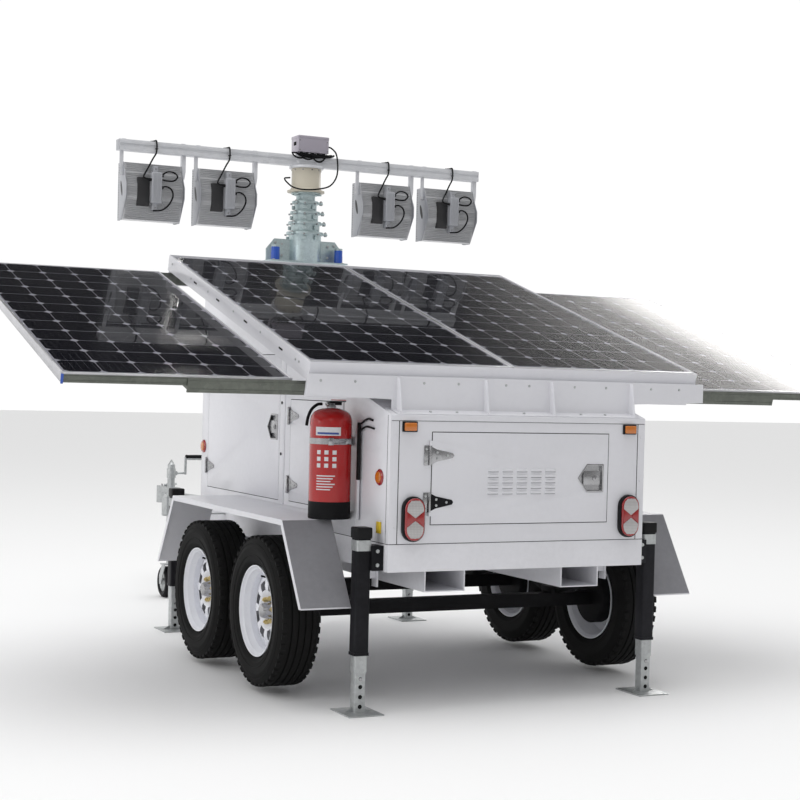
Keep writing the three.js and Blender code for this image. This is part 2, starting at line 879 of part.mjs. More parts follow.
/** A door leaf with two strap hinges and a latch dish sunk into its face. */
function doorLeaf(door) {
  const leaf = box(0, door.width, -doorProud, doorSheet, 0, door.height);
  const dish = alongY(dishOutline(6), -doorProud - 1, -doorProud + dishDepth);
  const hinges = [0.16, 0.84].map((share) => {
    const z = door.height * share;
    const face = -doorProud - 3;
    const strap = alongY(
      [
        [hingeOffset.x, -hingeHeight * 0.32],
        [12, -hingeHeight * 0.32],
        [hingeReach, -6],
        [hingeReach, 6],
        [12, hingeHeight * 0.32],
        [hingeOffset.x, hingeHeight * 0.32],
      ],
      face,
      face + 3.2,
    );
    const low = -hingeHeight * 0.32;
    const knuckle = rod("z", 5.5, low, -low, [hingeOffset.x, hingeOffset.y], 12);
    return join(strap, knuckle).translate([0, 0, z]);
  });
  return join(cut(leaf, dish.translate([dishX(door), 0, dishZ(door)])), hinges);
}

/** The pull plate of a latch, which turns about its edge away from the hinge. */
function paddle() {
  const plate = box(-paddleLength, 0, -1.5, 1.5, -paddleHeight / 2, paddleHeight / 2);
  const lip = box(-paddleLength, -paddleLength + 3, -1.5, 7, -paddleHeight / 2, paddleHeight / 2);
  return join(plate, lip);
}

const paddlePivot = { x: 52, y: doorProud };

addMesh(trailer, "cabinet_shell", cabinetShell(), white());
for (const door of doors) {
  const doorGroup = groupAt(trailer, door.x, door.y, door.bottom);
  doorGroup.rotation.z = door.turn * degree;
  addMesh(doorGroup, `door_${door.name}`, doorLeaf(door), white());
  const pull = addMesh(doorGroup, `paddle_${door.name}`, paddle(), paint(0xc4c6c8, 0.3, 0.9));
  pull.position.set(dishX(door) + paddlePivot.x, paddlePivot.y, dishZ(door));
}

/** Six batteries side by side in a tray. */
function batteryBank() {
  const low = deckHeight + gap + cabinetSheet + 2;
  const pieces = [box(-420, 420, 1400, 2180, low, low + 20)];
  for (const x of [-275, 0, 275]) {
    for (const y of [1595, 1985]) {
      pieces.push(box(x - 120, x + 120, y - 170, y + 170, low + 19, low + 240));
      for (const side of [-80, 80]) {
        pieces.push(box(x + side - 9, x + side + 9, y - 139, y - 121, low + 239, low + 255));
      }
    }
  }
  return join(pieces);
}

/** The charge controller's case, on the cabinet's front wall. */
function controlUnit() {
  const back = cabinetLength - cabinetSheet - gap;
  return join(
    box(-220, 220, back - 110, back, 1150, 1600),
    box(-180, 180, back - 118, back - 109, 1400, 1560),
    box(-250, 250, back - 4, back, 1130, 1620),
  );
}

addMesh(trailer, "battery_bank", batteryBank(), paint(0x2b2d30, 0.6));
addMesh(trailer, "control_unit", controlUnit(), paint(0xb9bcc0, 0.5, 0.2));

// ---------------------------------------------------------------------- solar panel roof
// The roof's own frame: x across, y up the slope from the rear top edge, z off its face.
const roof = groupAt(trailer, 0, roofRearY, roofRearZ);
roof.rotation.x = roofTilt;

/** A solid drawn level in the trailer's frame, turned into the roof's frame. */
function leveled(body) {
  return body.translate([0, -roofRearY, -roofRearZ]).rotate([-roofTilt / degree, 0, 0]);
}

const slideNear = slideInset;
const slideFar = slideInset + slidePanelLength;
const railStack = { inner: 0, middle: slideRail + running, outer: 2 * (slideRail + running) };

/** A rail member beside the near (-1) or far (1) edge of the slide-out panels. */
function railMember(end, offset, x0, x1, top, height) {
  const edge = end < 0 ? slideNear - offset - slideRail : slideFar + offset;
  return box(x0, x1, edge, edge + slideRail, top - height, top);
}

/** The welded frame round and under the fixed panels, with its rail members and brackets. */
function roofFrame() {
  const [top, low] = [roofBeamTop, roofBeamBottom];
  const [wide, beam, skin] = [roofHalfWidth, roofBeamWidth, roofFascia];
  const panelWell = box(-wide + skin, wide - skin, skin, roofLength - skin, top, 1);
  const bays = [];
  for (const side of [-1, 1]) {
    const [x0, x1] = side < 0 ? [-wide + beam, -beam / 2] : [beam / 2, wide - beam];
    for (let bay = 0; bay < roofBays; bay += 1) {
      const y0 = (roofLength * bay) / roofBays + (bay === 0 ? beam : beam / 2);
      const y1 = (roofLength * (bay + 1)) / roofBays - (bay === roofBays - 1 ? beam : beam / 2);
      bays.push(box(x0, x1, y0, y1, low - 1, top + 1));
    }
  }
  const rails = [-1, 1].flatMap((end) => [
    railMember(end, railStack.outer, -wide + 6, -3, low + 1, slideOuterHeight),
    railMember(end, railStack.outer, 3, wide - 6, low + 1, slideOuterHeight),
  ]);
  const tray = cut(box(-wide, wide, 0, roofLength, low, 0), panelWell, bays);
  return join(tray, rails, rearBracket(), frontBracket());
}

/** The ribbed plate that carries the roof's rear edge, with its foot on the cabinet. */
function rearBracket() {
  const [y, s] = [bracketRearY, bracketSheet];
  const top = roofRearZ - 50;
  const footZ = roofHeightAt(y + s) + gap + 1;
  const plate = alongY(
    [
      [-bracketHalfWidth, top],
      [-bracketHalfWidth, top - 87],
      [-bracketFootHalfWidth, top - 101],
      [-bracketFootHalfWidth, footZ],
      [bracketFootHalfWidth, footZ],
      [bracketFootHalfWidth, top - 101],
      [bracketHalfWidth, top - 87],
      [bracketHalfWidth, top],
    ],
    y,
    y + s,
  );
  const shelf = box(-roofHalfWidth, roofHalfWidth, y + 1, y + 60, top - s - 1, top - 1);
  const ribs = bracketRibs.map((x) =>
    alongX(
      [
        [y + 1, top - 6],
        [y - 26, top - 6],
        [y - 52, roofHeightAt(y - 52) + gap + 1],
        [y + 1, roofHeightAt(y + 1) + gap + 1],
      ],
      x - s / 2,
      x + s / 2,
    ),
  );
  const footY = (level) => (level - roofRearY) / Math.cos(roofTilt) + cabinetTopW * Math.tan(roofTilt);
  const foot = box(
    -bracketFootHalfWidth + 3,
    bracketFootHalfWidth - 3,
    footY(5),
    footY(y + 50),
    cabinetTopW + gap,
    cabinetTopW + gap + s,
  );
  return join(leveled(join(plate, shelf, ribs)), foot);
}

/** The plain plate that carries the roof's front edge. */
function frontBracket() {
  const s = bracketSheet;
  const [y, low, half] = [roofLength - 1, cabinetTopW + gap, bracketFootHalfWidth];
  return join(
    box(-half, half, y, y + s, low + 1, roofBeamTop - 1),
    box(-half - 3, half + 3, y + 1, y + 50, low, low + s),
  );
}

/** A solar panel with an open back: laminate, and a frame round its edge. */
function solarPanel(x0, y0, length, top) {
  const [x1, y1] = [x0 + panelWidth, y0 + length];
  const [s, low] = [panelSheet, top - panelDepth];
  const full = box(x0, x1, y0, y1, low, top);
  const back = box(x0 + s, x1 - s, y0 + s, y1 - s, low + s, top - panelLaminate);
  const mouth = box(x0 + panelLip, x1 - panelLip, y0 + panelLip, y1 - panelLip, low - 1, low + s + 1);
  return cut(full, back, mouth);
}

/** A slide-out panel on the given side, with the rail members on its two ends. */
function slidePanel(side) {
  const inner = roofHalfWidth + 50;
  const x0 = side < 0 ? -inner - panelWidth : inner;
  const top = -slidePanelDrop;
  const rails = [-1, 1].map((end) =>
    railMember(end, railStack.inner - gap, x0 + 4, x0 + panelWidth - 4, top - 8, slideInnerHeight),
  );
  return join(solarPanel(x0, slideInset, slidePanelLength, top), rails);
}

/** The middle rail members of one side, tied together under the panel. */
function slideCarriage(side) {
  const outer = roofHalfWidth + 516;
  const [x0, x1] = side < 0 ? [-outer, -outer + carriageLength] : [outer - carriageLength, outer];
  const top = -slidePanelDrop - 7;
  const members = [-1, 1].map((end) =>
    railMember(end, railStack.middle, x0, x1, top, slideMiddleHeight),
  );
  const [t0, t1] = side < 0 ? [x0 + 15, x0 + 15 + carriageTie] : [x1 - 15 - carriageTie, x1 - 15];
  const tieTop = -slidePanelDrop - panelDepth - 6;
  const [near, far] = [slideNear - railStack.middle - 1, slideFar + railStack.middle + 1];
  return join(members, box(t0, t1, near, far, tieTop - carriageTie, tieTop));
}

addMesh(roof, "roof_frame", roofFrame(), white());
const cells = () => paint(0x0b0c14, 0.15, 0.2);
const panelStart = (roofLength - panelLength) / 2;
addMesh(roof, "solar_panel_left", solarPanel(-panelWidth - 3, panelStart, panelLength, -2), cells());
addMesh(roof, "solar_panel_right", solarPanel(3, panelStart, panelLength, -2), cells());
for (const [side, sign] of [
  ["left", -1],
  ["right", 1],
]) {
  addMesh(roof, `slide_panel_${side}`, slidePanel(sign), cells());
  addMesh(roof, `slide_carriage_${side}`, slideCarriage(sign), paint(0x5c6358, 0.45, 0.7));
}

// ---------------------------------------------------------------------------------- mast
const mast = groupAt(trailer, 0, mastY, 0);
const mastTube = (outer, low, high) =>
  turned(
    [
      [outer - mastWall, low],
      [outer, low],
      [outer, high],
      [outer - mastWall, high],
      [outer - mastWall, low],
    ],
    mastFacets,
  );

/** A collar with three ears round a tube of the given radius. */
function collar(radius, top) {
  const low = top - mastCollar;
  const ring = mastTube(radius + 14, low, top);
  const wide = radius + 14;
  const ears = [90, 210, 330].map((angle) =>
    box(wide - 8, wide + 22, -14, 14, low, low + 8).rotate([0, 0, angle]),
  );
  const web = turned(
    [
      [radius - 3, low],
      [wide - 2, low],
      [wide - 2, top],
      [radius - 3, top],
      [radius - 3, low],
    ],
    mastFacets,
  );
  return join(ring, web, ears);
}

/** The fixed tube on the front deck, with its foot, its wing plates and its stop pads. */
function mastBase() {
  const radius = mastOuterRadius;
  const low = deckHeight + gap;
  const foot = box(-140, 140, -110, 110, low, low + mastFoot);
  const shaft = rod("z", radius - mastWall, low - 1, mastBaseTop + 1, [0, 0], mastFacets);
  const wings = [-1, 1].map((side) =>
    alongY(
      [
        [side * (radius - 3), cradleBottom],
        [side * cradleHalfWidth, cradleBottom],
        [side * cradleHalfWidth, cradleBottom + cradleHeight * 0.55],
        [side * (cradleHalfWidth - 50), cradleBottom + cradleHeight],
        [side * (radius - 3), cradleBottom + cradleHeight],
      ],
      -4,
      4,
    ),
  );
  const shelf = box(-cradleHalfWidth, cradleHalfWidth, -85, 85, cradleBottom, cradleBottom + 8);
  const pads = [-198, 198].map((x) => rod("z", 23.5, cradleBottom + 7, cradleBottom + 95, [x, -42], 16));
  return cut(
    join(foot, mastTube(radius, low, mastBaseTop), collar(radius, mastBaseTop), wings, shelf, pads),
    shaft,
  );
}

/** A moving stage, counted from 1 at the widest, with its collar or its head flange. */
function mastStage(number) {
  const radius = mastOuterRadius - number * mastStep;
  const low = deckHeight + mastFoot + 20 + number * 4;
  const last = number === mastStages;
  const top = last ? rotatorBottom - gap : mastBaseTop + number * mastStageRise;
  const tube = mastTube(radius, low, top);
  if (last) return join(tube, mastTube(radius + 30, top - 10, top), collar(radius, top));
  return join(tube, collar(radius, top));
}

const galvanised = () => paint(0xb7c8c6, 0.45, 0.6);
addMesh(mast, "mast_base", mastBase(), galvanised());
for (let number = 1; number <= mastStages; number += 1) {
  addMesh(mast, `mast_stage_${number}`, mastStage(number), galvanised());
}

/** The housing of the motor that turns the lamp head. */
function rotator() {
  const [low, high] = [rotatorBottom, rotatorTop];
  return join(
    rod("z", rotatorRadius + 24, low, low + 12, [0, 0], 20),
    turned([
      [0, low + 11],
      [rotatorRadius + 10, low + 11],
      [rotatorRadius, low + 30],
      [rotatorRadius, high],
      [0, high],
    ]),
  );
}
addMesh(mast, "lamp_rotator", rotator(), paint(0xd8d2c2, 0.55));

// ----------------------------------------------------------------------------- lamp head
const crossbarTop = crossbarBottom + crossbarSize;

/** The crossbar with its saddle plate, grooved rear face and four pairs of yoke arms. */
function crossbar() {
  const [half, depth] = [crossbarLength / 2, crossbarSize / 2];
  const bar = box(-half, half, -depth, depth, crossbarBottom, crossbarTop);
  const grooveMiddle = (crossbarBottom + crossbarTop) / 2;
  const groove = box(
    -half + 4,
    half - 4,
    -depth - 1,
    -depth + 6,
    grooveMiddle - 8,
    grooveMiddle + 8,
  );
  const saddle = rod("z", rotatorRadius + 15, rotatorTop + running, crossbarBottom + 1, [0, 0], 20);
  const arms = lampCentres.flatMap((x) =>
    [-1, 1].map((side) => {
      const outer = x + side * (lampWidth / 2 + lampSideSheet + running);
      const [x0, x1] = side < 0 ? [outer - yokeSheet, outer] : [outer, outer + yokeSheet];
      const half = yokeWidth / 2;
      return alongX(
        [
          [-half, crossbarBottom + 1],
          [-half, lampPivotHeight],
          [-half / 2, lampPivotHeight - half],
          [half / 2, lampPivotHeight - half],
          [half, lampPivotHeight],
          [half, crossbarBottom + 1],
        ],
        x0,
        x1,
      );
    }),
  );
  return join(cut(bar, groove), saddle, arms);
}

/** A floodlight about its pivot: cooled body, side plates, glass rim and driver case. */
function floodlight() {
  const half = lampWidth / 2;
  const bodyProfile = [
    [lampFront - 12, lampTop],
    [-15, lampTop],
    [-34, lampTop - 60],
    [-66, lampTop - 130],
    [-66, lampTop - 200],
    [-8, lampBottom],
    [lampFront - 12, lampBottom],
  ];
  const sideProfile = [
    [lampFront, lampTop],
    [-15, lampTop],
    [-40, lampTop - 60],
    [-80, lampTop - 130],
    [-80, lampTop - 190],
    [5, lampBottom],
    [lampFront, lampBottom],
  ];
  const side = (x0) => alongX(sideProfile, x0, x0 + lampSideSheet);
  const rimDepth = 14;
  const rim = box(-half, half, lampFront - rimDepth, lampFront, lampBottom, lampTop);
  const glassWell = box(
    -half + 12,
    half - 12,
    lampFront - 5,
    lampFront + 1,
    lampBottom + 12,
    lampTop - 12,
  );
  const driver = box(-29, 29, -104, -60, lampTop - 225, lampTop - 55);
  const tabs = box(-14, 14, -74, -20, lampTop - 262, lampTop - 18);
  return join(
    alongX(bodyProfile, -half, half),
    side(-half - lampSideSheet),
    side(half),
    cut(rim, glassWell),
    driver,
    tabs,
  );
}

/** A sheet-metal box on the crossbar, where the leads meet. */
function junctionBox() {
  const low = crossbarTop + gap;
  const body = box(-75, 115, -55, 55, low + 18, low + 113);
  const feet = [-50, 90].map((x) => box(x - 12, x + 12, -25, 25, low, low + 19));
  return join(body, feet);
}

/** The four lamp leads: along the bar's front face, over its top, and down to each lamp. */
function lampLeads() {
  const front = crossbarSize / 2 + leadRadius + gap;
  const over = crossbarTop + leadRadius + gap;
  const back = -front;
  const trunkHeight = crossbarTop - 14;
  const trunkEnd = Math.max(...lampCentres) + 20;
  const trunk = rod("x", leadRadius, -trunkEnd, trunkEnd, [front, trunkHeight], 8);
  const leads = lampCentres.map((x) =>
    cord(
      [
        [x, front, trunkHeight - 6],
        [x, front, trunkHeight + 6],
        [x, front + 2, over - 2],
        [x, front - 2, over + 3],
        [x + 2, front - 12, over + 2],
        [x + 4, 0, over + 1],
        [x + 8, back + 8, over + 1],
        [x + 10, back, over + 1],
        [x + 12, back - 3, over - 6],
        [x + 14, back - 4, crossbarTop - 24],
        [x + 10, back - 6, crossbarBottom - 4],
        [x - 12, back - 14, crossbarBottom - 40],
        [x - 40, back - 22, lampPivotHeight + 30],
        [x - 62, -66, lampPivotHeight - 6],
        [x - 72, -84, lampPivotHeight - 24],
        [x - 58, -92, lampPivotHeight - 34],
        [x - 30.5, -92, lampPivotHeight - 38],
      ],
      leadRadius,
      8,
      16,
    ),
  );
  return join(trunk, leads);
}

/** The supply cable: out of the junction box, round the rotator, and in at the mast. */
function mastCable() {
  const start = crossbarTop + 66;
  return cord(
    [
      [115 + gap, 0, start],
      [130, 0, start],
      [152, -8, start - 6],
      [176, -26, start - 40],
      [174, -56, crossbarBottom + 10],
      [150, -92, crossbarBottom - 60],
      [96, -124, rotatorBottom + 36],
      [20, -136, rotatorBottom + 12],
      [-60, -128, rotatorBottom + 4],
      [-118, -96, rotatorBottom + 16],
      [-140, -40, rotatorBottom + 52],
      [-128, 16, rotatorBottom + 78],
      [-104, 30, rotatorBottom + 84],
      [-88, 30, rotatorBottom + 86],
    ],
    leadRadius,
    8,
    28,
  );
}

addMesh(mast, "lamp_crossbar", crossbar(), paint(0xc9cbd2, 0.4, 0.5));
addMesh(mast, "junction_box", junctionBox(), paint(0xb9b3c0, 0.45, 0.3));
lampCentres.forEach((x, index) => {
  const lamp = groupAt(mast, x, 0, lampPivotHeight);
  addMesh(lamp, `floodlight_${index + 1}`, floodlight(), paint(0xaeb1b4, 0.4, 0.7));
});
addMesh(mast, "lamp_leads", lampLeads(), paint(0x101113, 0.6));
addMesh(mast, "mast_cable", mastCable(), paint(0x101113, 0.6));

// --------------------------------------------------------------------- fire extinguisher
/** A cylinder with a domed shoulder, a foot ring and a valve with its levers. */
function fireExtinguisher() {
  const r = extinguisherRadius;
  const low = fenderTopHeight + gap;
  const shoulder = extinguisherShoulder - 40;
  const bottle = turned([
    [0, low],
    [r - 6, low],
    [r, low + 6],
    [r, shoulder],
    [r * 0.86, shoulder + 26],
    [r * 0.5, shoulder + 42],
    [16, shoulder + 50],
    [16, extinguisherTop - 20],
    [0, extinguisherTop - 20],
  ]);
  const head = box(-14, 46, -12, 12, extinguisherTop - 24, extinguisherTop - 8);
  const lever = box(-10, 70, -8, 8, extinguisherTop - 9, extinguisherTop);
  return join(bottle, head, lever);
}
const extinguisherGroup = groupAt(trailer, extinguisherX, extinguisherY, 0);
addMesh(extinguisherGroup, "fire_extinguisher", fireExtinguisher(), paint(0xc8141e, 0.3));

export default trailer;
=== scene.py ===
# %% [markdown]
# # A solar light tower on a trailer
# The trailer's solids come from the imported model, in metres, +Z up and +Y towards the
# drawbar. This lesson dresses them: each piece is rebuilt or refined as a real mesh with
# rounded edges, gets a material made only of shader nodes, and rides on its body.

# %% Loading the frame
import math

import bmesh
import bpy
from mathutils import Matrix, Vector


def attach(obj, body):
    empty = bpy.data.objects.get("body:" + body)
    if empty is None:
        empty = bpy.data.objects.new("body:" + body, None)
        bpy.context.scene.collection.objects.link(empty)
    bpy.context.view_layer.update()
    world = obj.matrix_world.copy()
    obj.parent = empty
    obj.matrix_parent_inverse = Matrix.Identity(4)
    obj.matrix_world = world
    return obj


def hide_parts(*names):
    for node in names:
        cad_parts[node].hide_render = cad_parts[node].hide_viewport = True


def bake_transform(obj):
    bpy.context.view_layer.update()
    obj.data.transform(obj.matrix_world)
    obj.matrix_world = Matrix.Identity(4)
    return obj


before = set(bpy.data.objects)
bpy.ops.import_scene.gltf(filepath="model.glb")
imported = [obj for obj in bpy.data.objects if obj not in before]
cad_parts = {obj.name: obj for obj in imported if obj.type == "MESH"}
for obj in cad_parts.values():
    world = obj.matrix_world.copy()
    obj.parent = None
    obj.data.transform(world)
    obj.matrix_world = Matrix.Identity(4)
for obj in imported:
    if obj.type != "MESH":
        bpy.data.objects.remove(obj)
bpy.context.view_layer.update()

# %% [markdown]
# All positions are given from the cabinet's rear face, because that is where a person
# would hold a tape. One function moves them into the frame, whose origin is further on.

# %% Places and sizes
REAR_FACE = -2.554
ROOF_TILT = math.radians(16.4)
ROOF_REAR = (0.080, 1.50314)
MAST_Y = 2.559
LAMP_PIVOT = 2.55
SIDES = {"left": -1, "right": 1}
AXLES = {"rear": 0.683, "front": 1.485}
JACKS = {"rear": 0.088, "front": 2.575}
LAMP_CENTRES = (-0.93, -0.50, 0.50, 0.93)


def at(x, y, z):
    """A point given from the cabinet's rear face."""
    return Vector((x, y + REAR_FACE, z))


def moved(x, y, z, angle=0.0, axis="Z"):
    """A matrix that turns about an axis, then moves to a point given from the rear face."""
    return Matrix.Translation(at(x, y, z)) @ Matrix.Rotation(math.radians(angle), 4, axis)


ROOF = moved(0, *ROOF_REAR) @ Matrix.Rotation(ROOF_TILT, 4, "X")

# %% [markdown]
# The camera stands low behind the left rear corner with a fairly long lens, so the
# roof is seen at a grazing angle and the wheels on both sides show.

# %% Camera
CAMERA_AT = at(-3.7054, -6.2811, 1.4085)
CAMERA_YAW, CAMERA_PITCH, CAMERA_ROLL = (math.radians(a) for a in (26.850, -1.029, 1.474))


def camera_matrix():
    """The camera's place, from its yaw, pitch and roll."""
    ahead = Vector(
        (
            math.sin(CAMERA_YAW) * math.cos(CAMERA_PITCH),
            math.cos(CAMERA_YAW) * math.cos(CAMERA_PITCH),
            math.sin(CAMERA_PITCH),
        )
    )
    level = Vector((math.cos(CAMERA_YAW), -math.sin(CAMERA_YAW), 0))
    above = level.cross(ahead)
    right = level * math.cos(CAMERA_ROLL) + above * math.sin(CAMERA_ROLL)
    up = above * math.cos(CAMERA_ROLL) - level * math.sin(CAMERA_ROLL)
    turn = Matrix((right, up, -ahead)).transposed().to_4x4()
    return Matrix.Translation(CAMERA_AT) @ turn


camera_data = bpy.data.cameras.new("camera")
camera_data.sensor_width = 36
camera_data.lens = 73.68
camera_data.shift_x = -0.0225
camera_data.shift_y = 0.0204
camera_data.clip_end = 200
camera = bpy.data.objects.new("camera", camera_data)
camera.matrix_world = camera_matrix()
bpy.context.scene.collection.objects.link(camera)
bpy.context.scene.camera = camera
print("camera at", [round(c, 3) for c in camera.matrix_world.translation])

# %% [markdown]
# Shader maths reads best as ordinary maths, so a small class wraps a socket and turns
# each operator into a Math node. A second class holds a material and adds its nodes.


# %% Shader tools
class Value:
    """A number socket that can be added, multiplied and compared like a number."""

    def __init__(self, graph, socket):
        self.graph, self.socket = graph, socket

    def maths(self, operation, *others):
        node = self.graph.tree.nodes.new("ShaderNodeMath")
        node.operation = operation
        for slot, value in zip(node.inputs, (self, *others)):
            self.graph.feed(slot, value)
        return Value(self.graph, node.outputs[0])

    def __add__(self, other):
        return self.maths("ADD", other)

    def __mul__(self, other):
        return self.maths("MULTIPLY", other)

    def __sub__(self, other):
        return self.maths("SUBTRACT", other)

    def __truediv__(self, other):
        return self.maths("DIVIDE", other)

    def __gt__(self, other):
        return self.maths("GREATER_THAN", other)

    def __lt__(self, other):
        return self.maths("LESS_THAN", other)

    def largest(self, other):
        return self.maths("MAXIMUM", other)

    def smallest(self, other):
        return self.maths("MINIMUM", other)

    def size(self):
        return self.maths("ABSOLUTE")

    def repeated(self, pitch):
        """How far this value is from the middle of its own repeat."""
        return ((self / pitch).maths("FRACT") - 0.5) * pitch


class Graph:
    """A material whose nodes are added one call at a time."""

    def __init__(self, name):
        self.material = bpy.data.materials.new(name)
        self.material.use_nodes = True
        self.tree = self.material.node_tree
        self.shader = next(n for n in self.tree.nodes if n.type == "BSDF_PRINCIPLED")

    def feed(self, slot, value):
        if isinstance(value, Value):
            self.tree.links.new(value.socket, slot)
        elif isinstance(value, bpy.types.NodeSocket):
            self.tree.links.new(value, slot)
        else:
            slot.default_value = value

    def node(self, kind, inputs=None, **settings):
        node = self.tree.nodes.new(kind)
        for name, value in settings.items():
            setattr(node, name, value)
        for name, value in (inputs or {}).items():
            self.feed(node.inputs[name], value)
        return node

    def set(self, **inputs):
        for name, value in inputs.items():
            self.feed(self.shader.inputs[name.replace("_", " ")], value)
        return self

    def place(self):
        return self.node("ShaderNodeTexCoord").outputs["Object"]

    def uv(self, layer):
        split = self.node("ShaderNodeSeparateXYZ")
        self.feed(split.inputs[0], self.node("ShaderNodeUVMap", uv_map=layer).outputs[0])
        return Value(self, split.outputs[0]), Value(self, split.outputs[1])

    def noise(self, scale, detail=3.0, roughness=0.55, stretch=None):
        where = self.place()
        if stretch:
            where = self.node("ShaderNodeMapping", {"Vector": where, "Scale": stretch}).outputs[0]
        made = self.node(
            "ShaderNodeTexNoise",
            {"Vector": where, "Scale": scale, "Detail": detail, "Roughness": roughness},
        )
        return Value(self, made.outputs[0])

    def cells(self, scale):
        made = self.node("ShaderNodeTexVoronoi", {"Vector": self.place(), "Scale": scale})
        split = self.node("ShaderNodeSeparateColor", {"Color": made.outputs["Color"]})
        return Value(self, split.outputs[0])

    def mix(self, amount, first, second):
        made = self.node("ShaderNodeMix", data_type="RGBA")
        self.feed(made.inputs[0], amount)
        for slot, colour in ((made.inputs[6], first), (made.inputs[7], second)):
            self.feed(slot, (*colour, 1) if isinstance(colour, tuple) else colour)
        return made.outputs[2]

    def bump(self, height, strength, distance=0.001):
        made = self.node("ShaderNodeBump", {"Height": height, "Strength": strength})
        made.inputs["Distance"].default_value = distance
        return self.set(Normal=made.outputs[0])


# %% [markdown]
# Powder-coated steel is even in colour but never perfectly flat: it has a fine orange
# peel, a slow drift in gloss, and a little dust that settles where hands don't reach.


# %% Paint
def shade(colour, amount):
    return tuple(c * amount for c in colour)


def paint(name, colour, roughness=0.38, coat=0.25, dust=0.06, metallic=0.0):
    graph = Graph(name)
    slow, fine = graph.noise(2.3), graph.noise(38, 4)
    blotch = (slow * 0.7 + fine * 0.3 - 0.42) * 3
    tone = graph.mix(blotch.largest(0).smallest(1), colour, shade(colour, 1 - dust))
    graph.set(Base_Color=tone, Roughness=(fine - 0.5) * 0.18 + roughness)
    graph.set(Metallic=metallic, Coat_Weight=coat, Coat_Roughness=0.12)
    graph.bump(graph.noise(420, 2), 0.06, 0.0006)
    return graph.material


def zinc(name, light, dark, roughness=0.42, spangle=70.0, metallic=0.8):
    """Galvanised or plated steel: crystal spangle, cloudy oxide and fine scratches."""
    graph = Graph(name)
    crystals, cloud = graph.cells(spangle), graph.noise(9, 5)
    scratch = graph.noise(60, 2, 0.4, stretch=(1, 1, 22))
    amount = (crystals * 0.45 + cloud * 0.8 - 0.3).largest(0).smallest(1)
    graph.set(Base_Color=graph.mix(amount, light, dark), Metallic=metallic)
    graph.set(Roughness=(cloud - 0.5) * 0.25 + (scratch - 0.5) * 0.12 + roughness)
    graph.bump(scratch * 0.5 + crystals * 0.2, 0.12, 0.0005)
    return graph.material


def moulded(name, colour, roughness=0.55, grain=240.0, coat=0.0):
    """Plastic or rubber with a fine grain."""
    graph = Graph(name)
    slow, grit = graph.noise(7, 4), graph.noise(grain, 2)
    amount = (slow * 0.6 + grit * 0.4 - 0.35).largest(0).smallest(1)
    graph.set(Base_Color=graph.mix(amount, colour, shade(colour, 1.5)), Coat_Weight=coat)
    graph.set(Roughness=(slow - 0.5) * 0.2 + roughness)
    graph.bump(grit, 0.15, 0.0005)
    return graph.material


def lens(name, colour, ridge, glow=0.0):
    """A pressed signal lens, with the small prisms on its back showing through."""
    graph = Graph(name)
    split = graph.node("ShaderNodeSeparateXYZ", {"Vector": graph.place()})
    across, upward = Value(graph, split.outputs[0]), Value(graph, split.outputs[2])
    prism = across.repeated(ridge).size().largest(upward.repeated(ridge).size()) / ridge
    graph.set(Base_Color=graph.mix(prism * 1.6, colour, shade(colour, 0.45)))
    graph.set(Roughness=prism * 0.1 + 0.12, Coat_Weight=1.0, Coat_Roughness=0.03)
    graph.set(Emission_Color=(*colour, 1), Emission_Strength=glow)
    graph.bump(prism, 0.3, 0.0006)
    return graph.material


WHITE_TONE = (0.74, 0.74, 0.78)
white = paint("white_powder_coat", WHITE_TONE)
frame_white = paint("white_chassis_paint", (0.78, 0.78, 0.82), dust=0.12)
wheel_white = paint("white_wheel_paint", (0.82, 0.83, 0.88), roughness=0.3, dust=0.1)
# Mid grey that is painted shade, laid on the sloping fender skirts and in the louvre slits under each hood.
painted_shade_grey = paint("painted_shade_grey_sheet", (0.26, 0.26, 0.28), roughness=0.6, coat=0, dust=0.2)
satin_black = paint("satin_black_paint", (0.012, 0.012, 0.014), 0.42, coat=0.2, dust=-1.2)
underside_black = paint("black_underside", (0.010, 0.010, 0.011), 0.6, coat=0.0, dust=-1.0)
red_paint = paint("red_enamel", (0.42, 0.006, 0.006), 0.22, coat=0.25, dust=0.03)
blue_plastic = moulded("blue_plastic", (0.012, 0.075, 0.42), 0.35, coat=0.4)
beige_cover = paint("beige_cover_paint", (0.66, 0.61, 0.50), 0.5, coat=0.1)
lilac_case = paint("lilac_case_paint", (0.42, 0.39, 0.45), 0.4)
lamp_grey = paint("lamp_side_paint", (0.42, 0.43, 0.46), 0.42, metallic=0.3)
driver_grey = paint("driver_case_paint", (0.42, 0.43, 0.46), 0.5, metallic=0.2)
bar_grey = zinc("plated_bar", (0.78, 0.79, 0.82), (0.66, 0.67, 0.70), 0.42, 30, 0.15)
galvanised = zinc("galvanised_steel", (0.55, 0.57, 0.57), (0.36, 0.37, 0.38), 0.45)
mast_zinc = zinc("pale_galvanised_mast", (0.56, 0.66, 0.67), (0.38, 0.46, 0.47), 0.4, 110)
stainless = zinc("stainless_steel", (0.44, 0.44, 0.45), (0.30, 0.30, 0.31), 0.24, 24, 1.0)
olive_zinc = zinc("olive_plated_slide", (0.16, 0.17, 0.15), (0.09, 0.10, 0.085), 0.4, 50)
yellow_zinc = zinc("yellow_plated_nut", (0.66, 0.52, 0.22), (0.45, 0.36, 0.18), 0.35, 200)
panel_silver = zinc("panel_frame_aluminium", (0.62, 0.62, 0.64), (0.5, 0.5, 0.52), 0.32, 16, 0.9)
tyre_rubber = moulded("tyre_rubber", (0.012, 0.012, 0.012), 0.72, 300)
black_rubber = moulded("black_cord_sheath", (0.010, 0.010, 0.011), 0.5, 500)
dark_gap = moulded("dark_gap_seal", (0.010, 0.010, 0.010), 0.8)
black_plastic = moulded("black_plastic", (0.014, 0.014, 0.015), 0.4, 300, 0.2)
label_pale = paint("plain_label", (0.70, 0.70, 0.72), 0.4)
amber_lens = lens("amber_lens", (0.70, 0.19, 0.006), 0.006, 0.08)
